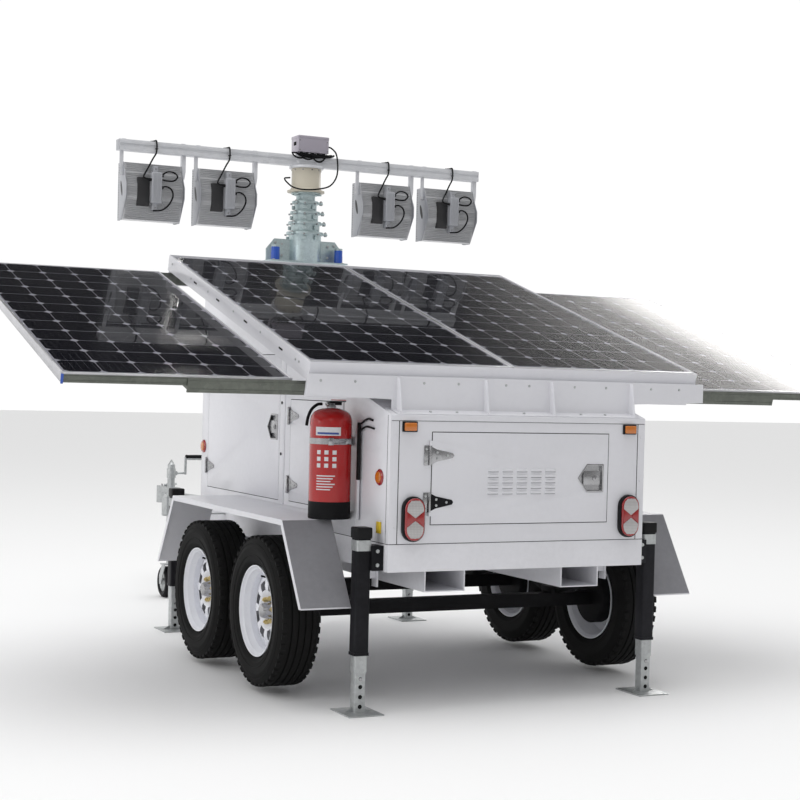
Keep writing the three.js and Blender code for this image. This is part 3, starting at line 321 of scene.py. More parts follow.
red_lens = lens("red_lens", (0.40, 0.004, 0.006), 0.007, 0.04)
clear_lens = lens("clear_lens", (0.62, 0.60, 0.60), 0.007)
for dull in (satin_black, underside_black, tyre_rubber, black_rubber, dark_gap, black_plastic):
    shader = dull.node_tree.nodes["Principled BSDF"]
    shader.inputs["Specular IOR Level"].default_value = 0.07
    if not shader.inputs["Coat Weight"].is_linked:
        shader.inputs["Coat Weight"].default_value = 0.02
print(len(bpy.data.materials), "materials so far")

# %% [markdown]
# A solar module is dark cells on a white backsheet under glass. Each cell is a square
# with its four corners cut off, so that a white diamond shows where four cells meet,
# and thin silver ribbons run the length of the module. The sheet carries a UV layer
# in metres, so the pattern keeps its real size.

# %% Solar cells
CELL_PITCH = 0.1588
CELL_SIZE = 0.1562
CELL_CHAMFER = 0.019
RIBBONS = 5


def solar_cells():
    graph = Graph("solar_cells")
    across, along = graph.uv("metres")
    a, b = across.repeated(CELL_PITCH), along.repeated(CELL_PITCH)
    edge = a.size().largest(b.size()) > CELL_SIZE / 2
    corner = (a.size() + b.size()) > CELL_SIZE - CELL_CHAMFER
    outside = (across < 0).largest(across > 6 * CELL_PITCH)
    outside = outside.largest(along < 0).largest(along > 12 * CELL_PITCH)
    bare = edge.largest(corner).largest(outside)
    ribbon = across.repeated(CELL_PITCH / RIBBONS).size() < 0.0006
    finger = along.repeated(0.0042).size() < 0.0006
    tint = graph.noise(1.4, 2)
    cell = graph.mix(tint, (0.0012, 0.0012, 0.0026), (0.004, 0.004, 0.0075))
    cell = graph.mix(finger * 0.04, cell, (0.10, 0.10, 0.13))
    cell = graph.mix(ribbon * 0.25, cell, (0.22, 0.22, 0.24))
    graph.set(Base_Color=graph.mix(bare, cell, (0.25, 0.25, 0.28)))
    graph.set(Roughness=graph.noise(30, 3) * 0.05 + 0.20, Specular_IOR_Level=0.02)
    graph.set(Coat_Weight=0.36, Coat_Roughness=0.03)
    graph.bump(graph.noise(900, 1), 0.03, 0.0003)
    return graph.material


solar = solar_cells()

# %% [markdown]
# The floor is plain and pale. The sky is dim behind the camera and bright ahead of it,
# the strongest lamp hangs overhead, and one dark card hangs high ahead, so that the
# glass reflects something dark. Only reflections can see the card.

# %% Floor, light and card
def card_glow(graph):
    """A window at the right end of the card, fading to dark, and one small bright spot."""
    split = graph.node("ShaderNodeSeparateXYZ", {"Vector": graph.place()})
    x, z = Value(graph, split.outputs[0]), Value(graph, split.outputs[2])
    across = (x - 10.5 - (z - 8.9) * 2.373) * 0.42
    window = across.largest(0).smallest(1.0) * (z < 12.5)
    from_spot = ((x - 4.3) * (x - 4.3) + (z - 9.65) * (z - 9.65)) < 0.05
    light = window * WINDOW_LIGHT + from_spot * SPOT_LIGHT
    graph.set(Emission_Color=graph.mix(light * (1 / SPOT_LIGHT), (0, 0, 0), (1, 0.98, 0.96)))
    graph.set(Emission_Strength=SPOT_LIGHT)


WINDOW_LIGHT, SPOT_LIGHT = 11.0, 70.0


def stage_plane(name, corners, colour, roughness=0.9, glow=None):
    mesh = bpy.data.meshes.new(name)
    mesh.from_pydata([tuple(c) for c in corners], [], [(0, 1, 2, 3)])
    surface = Graph(name)
    surface.set(Base_Color=(*colour, 1), Roughness=roughness, Specular_IOR_Level=0.1)
    if glow:
        glow(surface)
    mesh.materials.append(surface.material)
    made = bpy.data.objects.new(name, mesh)
    bpy.context.scene.collection.objects.link(made)
    return made


def area_light(name, place, target, size, power, colour=(1, 1, 1)):
    data = bpy.data.lights.new(name, "AREA")
    data.shape = "DISK"
    data.size, data.energy, data.color = size, power, colour
    made = bpy.data.objects.new(name, data)
    made.location = place
    made.rotation_euler = (Vector(target) - Vector(place)).to_track_quat("-Z", "Y").to_euler()
    bpy.context.scene.collection.objects.link(made)
    return made


floor_corners = [(-60, -60, -0.0005), (60, -60, -0.0005), (60, 60, -0.0005), (-60, 60, -0.0005)]
stage_plane("floor", floor_corners, (0.90, 0.90, 0.90))
card_corners = [(-20, 12, 7.5), (18, 12, 7.5), (24, 15, 22), (-26, 15, 22)]
card = stage_plane("dark_card", card_corners, (0.01, 0.01, 0.01), glow=card_glow)
card.visible_camera = card.visible_diffuse = card.visible_shadow = False
REAR_SKY = 0.30
world = bpy.data.worlds.new("studio")
world.use_nodes = True
background = world.node_tree.nodes["Background"]
sky = world.node_tree.nodes.new("ShaderNodeTexCoord")
split_sky = world.node_tree.nodes.new("ShaderNodeSeparateXYZ")
fade = world.node_tree.nodes.new("ShaderNodeMapRange")
world.node_tree.links.new(sky.outputs["Generated"], split_sky.inputs[0])
world.node_tree.links.new(split_sky.outputs["Y"], fade.inputs["Value"])
for label, value in (("From Min", -0.9), ("From Max", 0.1), ("To Min", REAR_SKY), ("To Max", 1.02)):
    fade.inputs[label].default_value = value
world.node_tree.links.new(fade.outputs[0], background.inputs["Strength"])
background.inputs["Color"].default_value = (1.0, 1.0, 1.0, 1)
bpy.context.scene.world = world
bpy.context.scene.view_settings.view_transform = "Standard"
area_light("key", (-5, -12, 6), (0, -1.5, 1.2), 5, 45)
area_light("top", (-1, -2, 13), (0, -1, 0), 12, 520)
area_light("side", (-10, -2, 4), (0, -1, 1), 5, 90)

# %% [markdown]
# Every part starts as its own small bmesh: a box, a rod, an outline drawn out, a profile
# spun round, or a tube along a path. Its sharp edges are bevelled, then it joins a piece.


# %% Mesh tools
def soften(part, width, segments=2, angle=30):
    """Bevels every edge of a part that is sharper than the angle."""
    if width:
        limit = math.radians(angle)
        sharp = [e for e in part.edges if e.is_manifold and e.calc_face_angle() > limit]
        bmesh.ops.bevel(
            part,
            geom=sharp,
            offset=width,
            segments=segments,
            profile=0.5,
            affect="EDGES",
            clamp_overlap=True,
            material=-1,
        )
    return part


def block(low, high, bevel=0.002, segments=2):
    """A box between two corners."""
    low, high = Vector(low), Vector(high)
    part = bmesh.new()
    place = Matrix.Translation((low + high) / 2) @ Matrix.Diagonal((*(high - low), 1))
    bmesh.ops.create_cube(part, size=1, matrix=place)
    return soften(part, bevel, segments)


def rod(start, end, radius, sides=32, bevel=0.0015, end_radius=None):
    """A round bar, or a cone, from one point to another."""
    start, end = Vector(start), Vector(end)
    along = end - start
    turn = along.to_track_quat("Z", "Y").to_matrix().to_4x4()
    place = Matrix.Translation((start + end) / 2) @ turn
    part = bmesh.new()
    bmesh.ops.create_cone(
        part,
        cap_ends=True,
        segments=sides,
        radius1=radius,
        radius2=radius if end_radius is None else end_radius,
        depth=along.length,
        matrix=place,
    )
    return soften(part, bevel, 2, 50)


PLANES = {
    "x": Matrix(((0, 0, 1, 0), (1, 0, 0, 0), (0, 1, 0, 0), (0, 0, 0, 1))),
    "y": Matrix(((1, 0, 0, 0), (0, 0, -1, 0), (0, 1, 0, 0), (0, 0, 0, 1))),
    "z": Matrix.Identity(4),
}


def prism(outline, low, high, axis="z", bevel=0.0015, segments=2):
    """A flat outline drawn out along an axis: [y, z] for x, [x, z] for y, [x, y] for z."""
    part = bmesh.new()
    bottom = part.faces.new([part.verts.new((a, b, 0)) for a, b in outline])
    drawn = bmesh.ops.extrude_face_region(part, geom=[bottom])["geom"]
    tops = [v for v in drawn if isinstance(v, bmesh.types.BMVert)]
    bmesh.ops.translate(part, verts=tops, vec=(0, 0, high - low))
    shift = -high if axis == "y" else low
    bmesh.ops.translate(part, verts=part.verts, vec=(0, 0, shift))
    bmesh.ops.transform(part, matrix=PLANES[axis], verts=part.verts)
    bmesh.ops.recalc_face_normals(part, faces=part.faces)
    return soften(part, bevel, segments)


def spun(profile, sides=48, axis="z", bevel=0.0):
    """A profile of (radius, height) points turned about an axis; it closes on itself or the axis."""
    part = bmesh.new()
    points = [part.verts.new((r, 0, h)) for r, h in profile]
    pairs = list(zip(points, points[1:]))
    if all(r > 1e-6 for r, _ in (profile[0], profile[-1])):
        pairs.append((points[-1], points[0]))
    edges = [part.edges.new(pair) for pair in pairs]
    bmesh.ops.spin(
        part,
        geom=points + edges,
        cent=(0, 0, 0),
        axis=(0, 0, 1),
        angle=math.tau,
        steps=sides,
        use_merge=True,
    )
    bmesh.ops.remove_doubles(part, verts=part.verts, dist=1e-6)
    bmesh.ops.recalc_face_normals(part, faces=part.faces)
    soften(part, bevel, 2, 40)
    if axis == "x":
        bmesh.ops.rotate(part, verts=part.verts, matrix=Matrix.Rotation(math.pi / 2, 3, "Y"))
    if axis == "y":
        bmesh.ops.rotate(part, verts=part.verts, matrix=Matrix.Rotation(-math.pi / 2, 3, "X"))
    return part


def smooth_path(points, steps=8):
    """A Catmull-Rom curve through the points."""
    points = [Vector(p) for p in points]
    ends = [points[0] * 2 - points[1], *points, points[-1] * 2 - points[-2]]
    path = []
    for a, b, c, d in zip(ends, ends[1:], ends[2:], ends[3:]):
        for step in range(steps):
            t = step / steps
            square, cube = 2 * a - 5 * b + 4 * c - d, 3 * b - a - 3 * c + d
            path.append(0.5 * (2 * b + (c - a) * t + square * t**2 + cube * t**3))
    return [*path, points[-1]]


def tube(points, radius, sides=12, steps=8):
    """A round tube along a smooth path, with closed ends."""
    path = smooth_path(points, steps) if steps > 1 else [Vector(p) for p in points]
    part = bmesh.new()
    rings = []
    normal = None
    for index, centre in enumerate(path):
        ahead = path[min(index + 1, len(path) - 1)] - path[max(index - 1, 0)]
        ahead.normalize()
        if normal is None:
            normal = ahead.orthogonal().normalized()
        normal = (normal - ahead * normal.dot(ahead)).normalized()
        side = ahead.cross(normal)
        ring = []
        for k in range(sides):
            angle = math.tau * k / sides
            out = normal * math.cos(angle) + side * math.sin(angle)
            ring.append(part.verts.new(centre + out * radius))
        rings.append(ring)
    for low, high in zip(rings, rings[1:]):
        for k in range(sides):
            part.faces.new((low[k], low[(k + 1) % sides], high[(k + 1) % sides], high[k]))
    part.faces.new(rings[0])
    part.faces.new(rings[-1])
    bmesh.ops.recalc_face_normals(part, faces=part.faces)
    return part


def framed(outer, inner, low, high, axis="z", bevel=0.0):
    """A wall between two outlines that have the same number of corners."""
    part = bmesh.new()
    rings = []
    for outline in (outer, inner):
        for level in (low, high):
            rings.append([part.verts.new((a, b, level)) for a, b in outline])
    out_low, out_high, in_low, in_high = rings
    for k in range(len(outer)):
        n = (k + 1) % len(outer)
        part.faces.new((out_low[k], out_low[n], out_high[n], out_high[k]))
        part.faces.new((in_low[k], in_high[k], in_high[n], in_low[n]))
        part.faces.new((out_high[k], out_high[n], in_high[n], in_high[k]))
        part.faces.new((out_low[k], in_low[k], in_low[n], out_low[n]))
    bmesh.ops.transform(part, matrix=PLANES[axis], verts=part.verts)
    bmesh.ops.recalc_face_normals(part, faces=part.faces)
    return soften(part, bevel)


def hexagon(start, end, radius, bevel=0.0008):
    return rod(start, end, radius, 6, bevel)


def screw(point, out, radius=0.006, depth=0.004):
    """A low round screw head with rounded edges, standing out of a face."""
    out = Vector(out).normalized()
    point = Vector(point)
    return rod(point - out * 0.001, point + out * depth, radius, 14, radius * 0.35)


class Piece:
    """Parts that become one named mesh, with a material for each part."""

    def __init__(self, name):
        self.name, self.whole, self.materials = name, bmesh.new(), []

    def add(self, part, material, place=None):
        if place is not None:
            bmesh.ops.transform(part, matrix=place, verts=part.verts)
        if material not in self.materials:
            self.materials.append(material)
        for face in part.faces:
            face.material_index = self.materials.index(material)
        mesh = bpy.data.meshes.new("part")
        part.to_mesh(mesh)
        part.free()
        self.whole.from_mesh(mesh)
        bpy.data.meshes.remove(mesh)
        return self

    def move(self, place):
        """Moves every part that was added so far."""
        bmesh.ops.transform(self.whole, matrix=place, verts=self.whole.verts)

    def finished(self):
        """The parts as one object at the origin."""
        mesh = bpy.data.meshes.new(self.name)
        for face in self.whole.faces:
            face.smooth = True
        self.whole.to_mesh(mesh)
        self.whole.free()
        for material in self.materials:
            mesh.materials.append(material)
        mesh.set_sharp_from_angle(angle=math.radians(32))
        made = bpy.data.objects.new(self.name, mesh)
        bpy.context.scene.collection.objects.link(made)
        return made

    def ride(self, body, *replaced, slot=None):
        """Turns the parts into an object that moves with a body."""
        made = self.finished()
        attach(made, body)
        if replaced:
            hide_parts(*replaced)
        print(f"{self.name}: {len(made.data.polygons)} faces, moves with {body}")

    def bend(self, first, second):
        """Turns the parts into one object fixed in world space; the two bodies are only named in the
        printout.
        """
        made = self.finished()
        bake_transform(made)
        print(f"{self.name}: {len(made.data.polygons)} faces, from {first} to {second}")


def refined(node, bevel=0.0012, angle=30):
    """A part with the shape of a solid of the frame, its flats made whole and its edges bevelled."""
    part = bmesh.new()
    part.from_mesh(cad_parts[node].data)
    bmesh.ops.remove_doubles(part, verts=part.verts, dist=2e-5)
    bmesh.ops.dissolve_limit(
        part, angle_limit=math.radians(0.5), verts=part.verts, edges=part.edges
    )
    return soften(part, bevel, 2, angle)

# %% [markdown]
# The chassis, cabinet and drawbar are folded or welded sheet, so they keep the shape of
# the solids and only gain the small radius that every folded edge has.

# %% Chassis, cabinet and drawbar
def dress(node, body, material, bevel=0.0015, slot=None):
    """Gives a solid of the frame rounded edges and a material."""
    piece = Piece("looks_" + node)
    piece.add(refined(node, bevel), material)
    piece.ride(body, node, slot=slot)


dress("chassis_frame", "chassis", frame_white, 0.003)
dress("cabinet_shell", "chassis", white, 0.0015)
dress("battery_bank", "chassis", black_plastic, 0.003)
dress("control_unit", "chassis", lilac_case, 0.003)
for place in AXLES:
    dress(f"axle_{place}", "chassis", underside_black, 0.002)

# %% [markdown]
# The shell shows where its sheets meet: two upright seams near the rear corners, a hem
# under the roof, and a screwed cover strip on each long side. A seam is a dark filler
# line that stands a hair proud of the paint.

# %% Seams, hems and screws
SEAM = 0.0016
seams = Piece("cabinet_seams")
for x in (-0.613, 0.613):
    seams.add(block(at(x - SEAM, -0.0006, 0.733), at(x + SEAM, 0.002, 1.262), 0), dark_gap)
seams.add(block(at(-0.650, -0.0006, 1.2612), at(0.650, 0.002, 1.2630), 0), dark_gap)
seams.add(block(at(-0.652, -0.0006, 0.7300), at(0.652, 0.003, 0.7326), 0), dark_gap)
for side in (-1, 1):
    x0, x1 = sorted((side * 0.6536, side * 0.6505))
    seams.add(block(at(x0, 0.002, 0.7300), at(x1, 2.408, 0.7326), 0), dark_gap)
    seams.add(block(at(x0, 0.028, 0.735), at(x1, 0.0305, 1.285), 0), dark_gap)
seams.ride("chassis")

trim = Piece("cabinet_trim")
rim_outline = [(-0.650, 1.2645), (0.650, 1.2645), (0.650, 1.2860), (-0.650, 1.2860)]
trim.add(prism(rim_outline, *(v + REAR_FACE for v in (-0.0022, 0.001)), "y", 0.0008), white)
for side in (-1, 1):
    x0, x1 = sorted((side * 0.6555, side * 0.652))
    trim.add(block(at(x0, 1.190, 0.742), at(x1, 1.256, 1.60), 0.0012), white)
    for z in (0.805, 1.061, 1.313):
        trim.add(screw(at(side * 0.6555, 1.230, z), (side, 0, 0), 0.008), black_plastic)
for x, z in [(-0.63, 0.80), (-0.63, 1.0), (-0.63, 1.2), (0.63, 0.80), (0.63, 1.0), (0.63, 1.2)]:
    trim.add(screw(at(x, -0.0005, z), (0, -1, 0), 0.005, 0.002), white)
trim.ride("chassis")


# %% [markdown]
# A door is a folded pan with rounded edges. It hangs on two tapered strap hinges, and
# its latch is a pressed stainless dish that points at the hinges, with a pull plate and
# a key cylinder inside. Only the rear door has louvres, pressed outwards in five rows.

# %% Doors
DOORS = {
    "rear": (0, -0.452, 0.0, 0.815, 0.904, 0.3985),
    "left_front": (-90, -0.653, 2.300, 0.833, 1.040, 0.717),
    "left_rear": (-90, -0.653, 1.118, 0.838, 0.623, 0.492),
    "right": (90, 0.653, 1.260, 0.833, 1.040, 0.717),
}
DISH_HALF, DISH_HIGH = 0.069, 0.064
DISH_INSET = 0.092
PADDLE_PIVOT = 0.052
HINGE_HALF = 0.043


def dish_outline(margin):
    """The latch's five-sided outline, drawn in by a margin."""
    w, h = DISH_HALF - margin, DISH_HIGH - margin
    return [(w, -h), (w, h), (-w * 0.3, h), (-w, 0), (-w * 0.3, -h)]


def latch(piece, width, height):
    """The stainless dish of a latch: its lip, its rubber gasket, its wall and its pan."""
    place = Matrix.Translation((width - DISH_INSET, 0, height / 2))
    for outer, inner, low, high, material in (
        (0, 0.0075, 0.0012, 0.0045, stainless),
        (-0.0045, 0.0005, -0.0030, -0.0005, black_rubber),
        (0.0055, 0.0068, -0.0102, 0.002, stainless),
    ):
        ring = framed(dish_outline(outer), dish_outline(inner), low, high, "y", 0.0012)
        piece.add(ring, material, place)
    piece.add(prism(dish_outline(0.0064), 0.0092, 0.0104, "y", 0), stainless, place)


def strap_hinge(piece, z, strap_metal):
    """A tapered strap on the door with its three screws, and the knuckle at its root."""
    half = HINGE_HALF
    lower = [(-0.006, -half * 0.9), (0.020, -half * 0.62), (0.100, -0.010)]
    strap = lower + [(0.106, 0)] + [(x, -h) for x, h in reversed(lower)]
    place = Matrix.Translation((0, 0, z))
    piece.add(prism(strap, -0.0058, -0.0018, "y", 0.0012), strap_metal, place)
    piece.add(rod((-0.012, -0.008, -half), (-0.012, -0.008, half), 0.0062, 20), stainless, place)
    for x, h in ((0.022, 0.013), (0.022, -0.013), (0.072, 0)):
        piece.add(screw((x, -0.0056, h), (0, -1, 0), 0.006, 0.003), galvanised, place)


def louvres(piece, width, height):
    """Five rows of five hoods, pressed outwards and open below."""
    for row in range(5):
        for column in range(5):
            x = width / 2 + (column - 2) * 0.0735
            z = height / 2 - 0.012 + (row - 2) * 0.0245
            hood = bmesh.new()
            arcs = []
            for k in range(9):
                angle = math.pi * k / 8
                arcs.append((math.cos(angle) * 0.029, math.sin(angle)))
            front = [hood.verts.new((a, -0.0015 - 0.0065 * b, -0.007)) for a, b in arcs]
            back = [hood.verts.new((a * 0.96, -0.0015 - 0.0004 * b, 0.007)) for a, b in arcs]
            middle = [hood.verts.new((a, -0.0015 - 0.0058 * b, 0.001)) for a, b in arcs]
            for rows in ((front, middle), (middle, back)):
                for k in range(8):
                    hood.faces.new((rows[0][k], rows[0][k + 1], rows[1][k + 1], rows[1][k]))
            bmesh.ops.recalc_face_normals(hood, faces=hood.faces)
            bmesh.ops.solidify(hood, geom=hood.faces, thickness=0.0008)
            piece.add(hood, white, Matrix.Translation((x, 0, z)))
            # A grey strip in the opening under each hood is painted shade.
            slit = block((x - 0.0265, -0.0024, z - 0.0098), (x + 0.0265, -0.0012, z - 0.0060), 0)
            piece.add(slit, painted_shade_grey)


for name, (turn, x, y, bottom, width, height) in DOORS.items():
    place = moved(x, y, bottom, turn)
    leaf = Piece(f"looks_door_{name}")
    leaf.add(refined(f"door_{name}", 0.002), white, place.inverted())
    latch(leaf, width, height)
    shares = (0.24, 0.75) if name == "rear" else (0.16, 0.84)
    for share in shares:
        # The rear door's lower strap is satin black: a painted dark reflection on a bright steel strap.
        strap_hinge(leaf, height * share, satin_black if share == 0.24 else stainless)
    if name == "rear":
        louvres(leaf, width, height)
    leaf.move(place)
    leaf.ride(f"{name}_door", f"door_{name}", slot="white_paint")
    gap_line = Piece(f"door_gap_{name}")
    edge = 0.0032
    for low, high in (
        ((-edge, -0.0007, -edge), (0.0, 0.004, height + edge)),
        ((width, -0.0007, -edge), (width + edge, 0.004, height + edge)),
        ((-edge, -0.0007, -edge), (width + edge, 0.004, 0.0)),
        ((-edge, -0.0007, height), (width + edge, 0.004, height + edge)),
    ):
        gap_line.add(block(low, high, 0), dark_gap)
    half = HINGE_HALF
    for share in shares:
        z = height * share
        leaf_low, leaf_high = (-0.040, -0.0045, z - half), (-0.016, -0.0010, z + half)
        gap_line.add(block(leaf_low, leaf_high, 0.001), stainless)
        for h in (-0.028, 0.028):
            gap_line.add(screw((-0.030, -0.0044, z + h), (0, -1, 0), 0.006, 0.003), galvanised)
    gap_line.move(place)
    gap_line.ride("chassis")
    pull = Piece(f"looks_paddle_{name}")
    shift = Matrix.Translation((width - DISH_INSET + PADDLE_PIVOT, 0.0015, height / 2))
    pull.add(block((-0.088, -0.0015, -0.031), (0, 0.0015, 0.031), 0.0012), stainless, shift)
    pull.add(block((-0.088, -0.0010, -0.031), (-0.085, 0.0065, 0.031), 0.001), stainless, shift)
    pull.add(rod((-0.028, -0.0055, 0), (-0.028, 0.001, 0), 0.0125, 28, 0.001), stainless, shift)
    pull.add(block((-0.029, -0.0062, -0.006), (-0.027, -0.0050, 0.006), 0), dark_gap, shift)
    pull.move(place)
    pull.ride(f"{name}_paddle", f"paddle_{name}", slot="stainless")

# %% [markdown]
# The signal lamps are bought parts: amber markers in black bezels at the top corners,
# tall red clusters with clear wedges at the bottom corners, and round amber side markers.

# %% Signal lamps
def stadium(half_width, half_height, count=12):
    """An upright outline with round ends."""
    points = []
    for start, end in ((0, 1), (math.pi, -1)):
        middle = end * (half_height - half_width)
        for k in range(count + 1):
            angle = start + math.pi * k / count
            x, z = half_width * math.cos(angle), half_width * math.sin(angle)
            points.append((x, middle + z))
    return points


def tail_lamp(side, x, z):
    piece = Piece(f"tail_lamp_{side}")
    place = moved(x, 0, z)
    piece.add(prism(stadium(0.053, 0.098), -0.024, 0.0, "y", 0.004, 3), black_plastic, place)
    piece.add(prism(stadium(0.047, 0.092), -0.034, -0.022, "y", 0.006, 3), red_lens, place)
    for sign in (-1, 1):
        half_wedge = [(0.0395, 0.034), (0.0395, 0.048), (0.034, 0.066), (0.020, 0.081)]
        wedge = [(0, 0.006)] + half_wedge + [(-a, b) for a, b in reversed(half_wedge)]
        wedge = [(a, sign * b) for a, b in wedge]
        piece.add(prism(wedge, -0.0362, -0.030, "y", 0.0015), clear_lens, place)
    bow = [(-0.040, -0.034), (-0.004, 0), (-0.040, 0.034)]
    for sign in (-1, 1):
        piece.add(prism([(sign * a, b) for a, b in bow], -0.0372, -0.030, "y", 0.0015), red_lens, place)
    for h in (-0.079, 0.079):
        piece.add(screw((0, -0.0335, h), (0, -1, 0), 0.0035, 0.002), galvanised, place)
    piece.ride("chassis")


tail_lamp("left", -0.5425, 0.840)
tail_lamp("right", 0.565, 0.840)
for side, sign in SIDES.items():
    marker = Piece(f"amber_marker_{side}")
    place = moved(sign * 0.565, 0, 1.237)
    marker.add(block((-0.036, -0.010, -0.0225), (0.036, 0.0, 0.0225), 0.003), black_plastic, place)
    marker.add(block((-0.029, -0.019, -0.0175), (0.029, -0.008, 0.0175), 0.004, 3), amber_lens, place)
    marker.ride("chassis")
    for index, (y, z) in enumerate(((2.372, 1.049), (0.097, 1.014)), 1):
        ring = Piece(f"side_marker_{side}_{index}")
        place = moved(sign * 0.653, y, z, 90 * sign) @ Matrix.Rotation(math.pi, 4, "X")
        rim = [(0, -0.001), (0.036, -0.001), (0.036, 0.004), (0.030, 0.009), (0, 0.009)]
        ring.add(spun(rim, 40, "y"), red_lens, place)
        dome = [(0, 0.008), (0.026, 0.008), (0.024, 0.013), (0, 0.016)]
        ring.add(spun(dome, 40, "y"), amber_lens, place)
        ring.ride("chassis")

# %% [markdown]
# The roof frame is white folded steel. Its rear bracket has four gusset ribs, a row of
# screws under the panels and another along its foot.

# %% Roof frame
dress("roof_frame", "chassis", white, 0.0018)
screws = Piece("roof_screws")
for x in (-0.96, -0.80, -0.47, -0.30, -0.06, 0.06, 0.30, 0.47, 0.72, 0.88):
    screws.add(screw(at(x, 0.058, 1.425), (0, -1, 0), 0.006, 0.003), galvanised)
for x in (-0.45, -0.32, 0.02, 0.32, 0.45):
    level = 1.2875 + 0.03 * math.tan(ROOF_TILT) + 0.0048
    screws.add(screw(at(x, 0.030, level), (0, -0.282, 0.959), 0.007, 0.004), galvanised)
for side in (-1, 1):
    for along in (0.12, 0.16, 0.60, 0.97, 1.35, 1.62, 1.94):
        head = screw((side * 0.999, along, -0.035), (side, 0, 0), 0.006, 0.003)
        screws.add(head, galvanised, ROOF)
    for along in (0.34, 0.80, 1.20, 1.55):
        x0, x1 = sorted((side * 0.998, side * 1.0002))
        screws.add(block((x0, along - 0.022, -0.044), (x1, along + 0.022, -0.036), 0), dark_gap, ROOF)
screws.ride("chassis")

# %% [markdown]
# Each module is an aluminium frame round a sheet of cells. The sheet's UV layer is
# laid out in metres from the first cell's corner, and its back is a plain white film.

# %% Solar panels
PANEL_WIDTH = 0.992
PANEL_LIP = 0.011


def panel(name, body, node, x0, y0, length, top, depth=0.040):
    """A module: lip, wall and flange on all four sides, a backing film and its box."""
    piece = Piece(name)
    wall, flange = 0.003, 0.030
    x1, y1 = x0 + PANEL_WIDTH, y0 + length
    for band, bottom, above, bevel in (
        (PANEL_LIP, top - 0.004, top, 0.0008),
        (wall, top - depth, top - 0.003, 0.0008),
        (flange, top - depth, top - depth + 0.0022, 0.0006),
    ):
        for a0, a1, b0, b1 in (
            (x0, x1, y0, y0 + band),
            (x0, x1, y1 - band, y1),
            (x0, x0 + band, y0 + band, y1 - band),
            (x1 - band, x1, y0 + band, y1 - band),
        ):
            piece.add(block((a0, b0, bottom), (a1, b1, above), bevel), panel_silver, ROOF)
    back = block((x0 + wall, y0 + wall, top - 0.0055), (x1 - wall, y1 - wall, top - 0.0030), 0)
    piece.add(back, label_pale, ROOF)
    box_low = (x0 + 0.40, y1 - 0.22, top - 0.030)
    piece.add(block(box_low, (x0 + 0.59, y1 - 0.12, top - 0.005), 0.004), black_plastic, ROOF)
    piece.ride(body, node, slot="solar_cells")
    glass_sheet(name + "_glass", body, x0, y0, length, top - 0.0008)


def glass_sheet(name, body, x0, y0, length, top):
    """The glass over the cells, its UV layer laid out in metres from the first cell."""
    x1, y1 = x0 + PANEL_WIDTH, y0 + length
    low = (x0 + PANEL_LIP, y0 + PANEL_LIP, top - 0.002)
    sheet = block(low, (x1 - PANEL_LIP, y1 - PANEL_LIP, top), 0)
    layer = sheet.loops.layers.uv.new("metres")
    margin_x = (PANEL_WIDTH - 6 * CELL_PITCH) / 2
    margin_y = (length - 12 * CELL_PITCH) / 2
    for face in sheet.faces:
        for loop in face.loops:
            across = loop.vert.co.x - x0 - margin_x
            along = loop.vert.co.y - y0 - margin_y
            loop[layer].uv = (across, along)
    piece = Piece(name)
    piece.add(sheet, solar, ROOF)
    piece.ride(body, slot="solar_cells")


FIXED_START = (2.0045 - 1.956) / 2
panel("looks_panel_left", "chassis", "solar_panel_left", -0.995, FIXED_START, 1.956, -0.002)
panel("looks_panel_right", "chassis", "solar_panel_right", 0.003, FIXED_START, 1.956, -0.002)
for side, sign in SIDES.items():
    inner = -2.041 if sign < 0 else 1.049
    panel(f"looks_slide_{side}", f"{side}_slide_panel", f"slide_panel_{side}", inner, 0.0475, 1.938, -0.0887)

# %% [markdown]
# The slides are rolled steel members that run in each other, plated olive. Two beads
# stand along each one, and the inner member carries blue end pads.

# %% Slide rails
RAIL = 0.006
SLIDE_NEAR, SLIDE_FAR = 0.0475, 1.9855


def rail(piece, end, offset, x0, x1, top, height, body_material):
    """One member of a slide, with its two beads, at the near or the far end of a panel."""
    edge = SLIDE_NEAR - offset - RAIL if end < 0 else SLIDE_FAR + offset
    piece.add(block((x0, edge, top - height), (x1, edge + RAIL, top), 0.0012), body_material, ROOF)
    face = edge if end < 0 else edge + RAIL
    for share in (0.22, 0.78):
        middle = top - height * share
        low = (x0 + 0.004, face - 0.0014, middle - 0.0035)
        high = (x1 - 0.004, face + 0.0014, middle + 0.0035)
        piece.add(block(low, high, 0.0012), body_material, ROOF)


for side, sign in SIDES.items():
    span = sorted((sign * 1.053, sign * 2.037))
    inner_rail = Piece(f"inner_rail_{side}")
    for end in (-1, 1):
        rail(inner_rail, end, -0.0003, *span, -0.0967, 0.034, olive_zinc)
        face = 0.0418 if end < 0 else 1.9912
        for x in (sign * 1.20, sign * 1.42):
            inner_rail.add(screw((x, face, -0.113), (0, end, 0), 0.005, 0.0025), label_pale, ROOF)
        pad = sorted((sign * 2.030, sign * 2.0405))
        low, high = sorted((face - 0.001 * end, face + 0.0035 * end))
        inner_rail.add(block((pad[0], low, -0.135), (pad[1], high, -0.094), 0.001), blue_plastic, ROOF)
    inner_rail.ride(f"{side}_slide_panel")
    middle = Piece(f"looks_carriage_{side}")
    span = sorted((sign * 0.565, sign * 1.515))
    for end in (-1, 1):
        rail(middle, end, 0.0065, *span, -0.0957, 0.063, olive_zinc)
    tie = sorted((sign * 1.475, sign * 1.500))
    middle.add(block((tie[0], 0.0405, -0.1597), (tie[1], 1.9925, -0.1347), 0.0015), olive_zinc, ROOF)
    middle.ride(f"{side}_carriage", f"slide_carriage_{side}", slot="zinc_slide")

# %% [markdown]
# A road tyre is a profile spun round its axle: four rain grooves in the crown, blocks
# cut into both shoulders, and raised rings on the sidewall. The wheel inside it is
# pressed steel with eight windows, plated nuts and a bright cap over the hub.

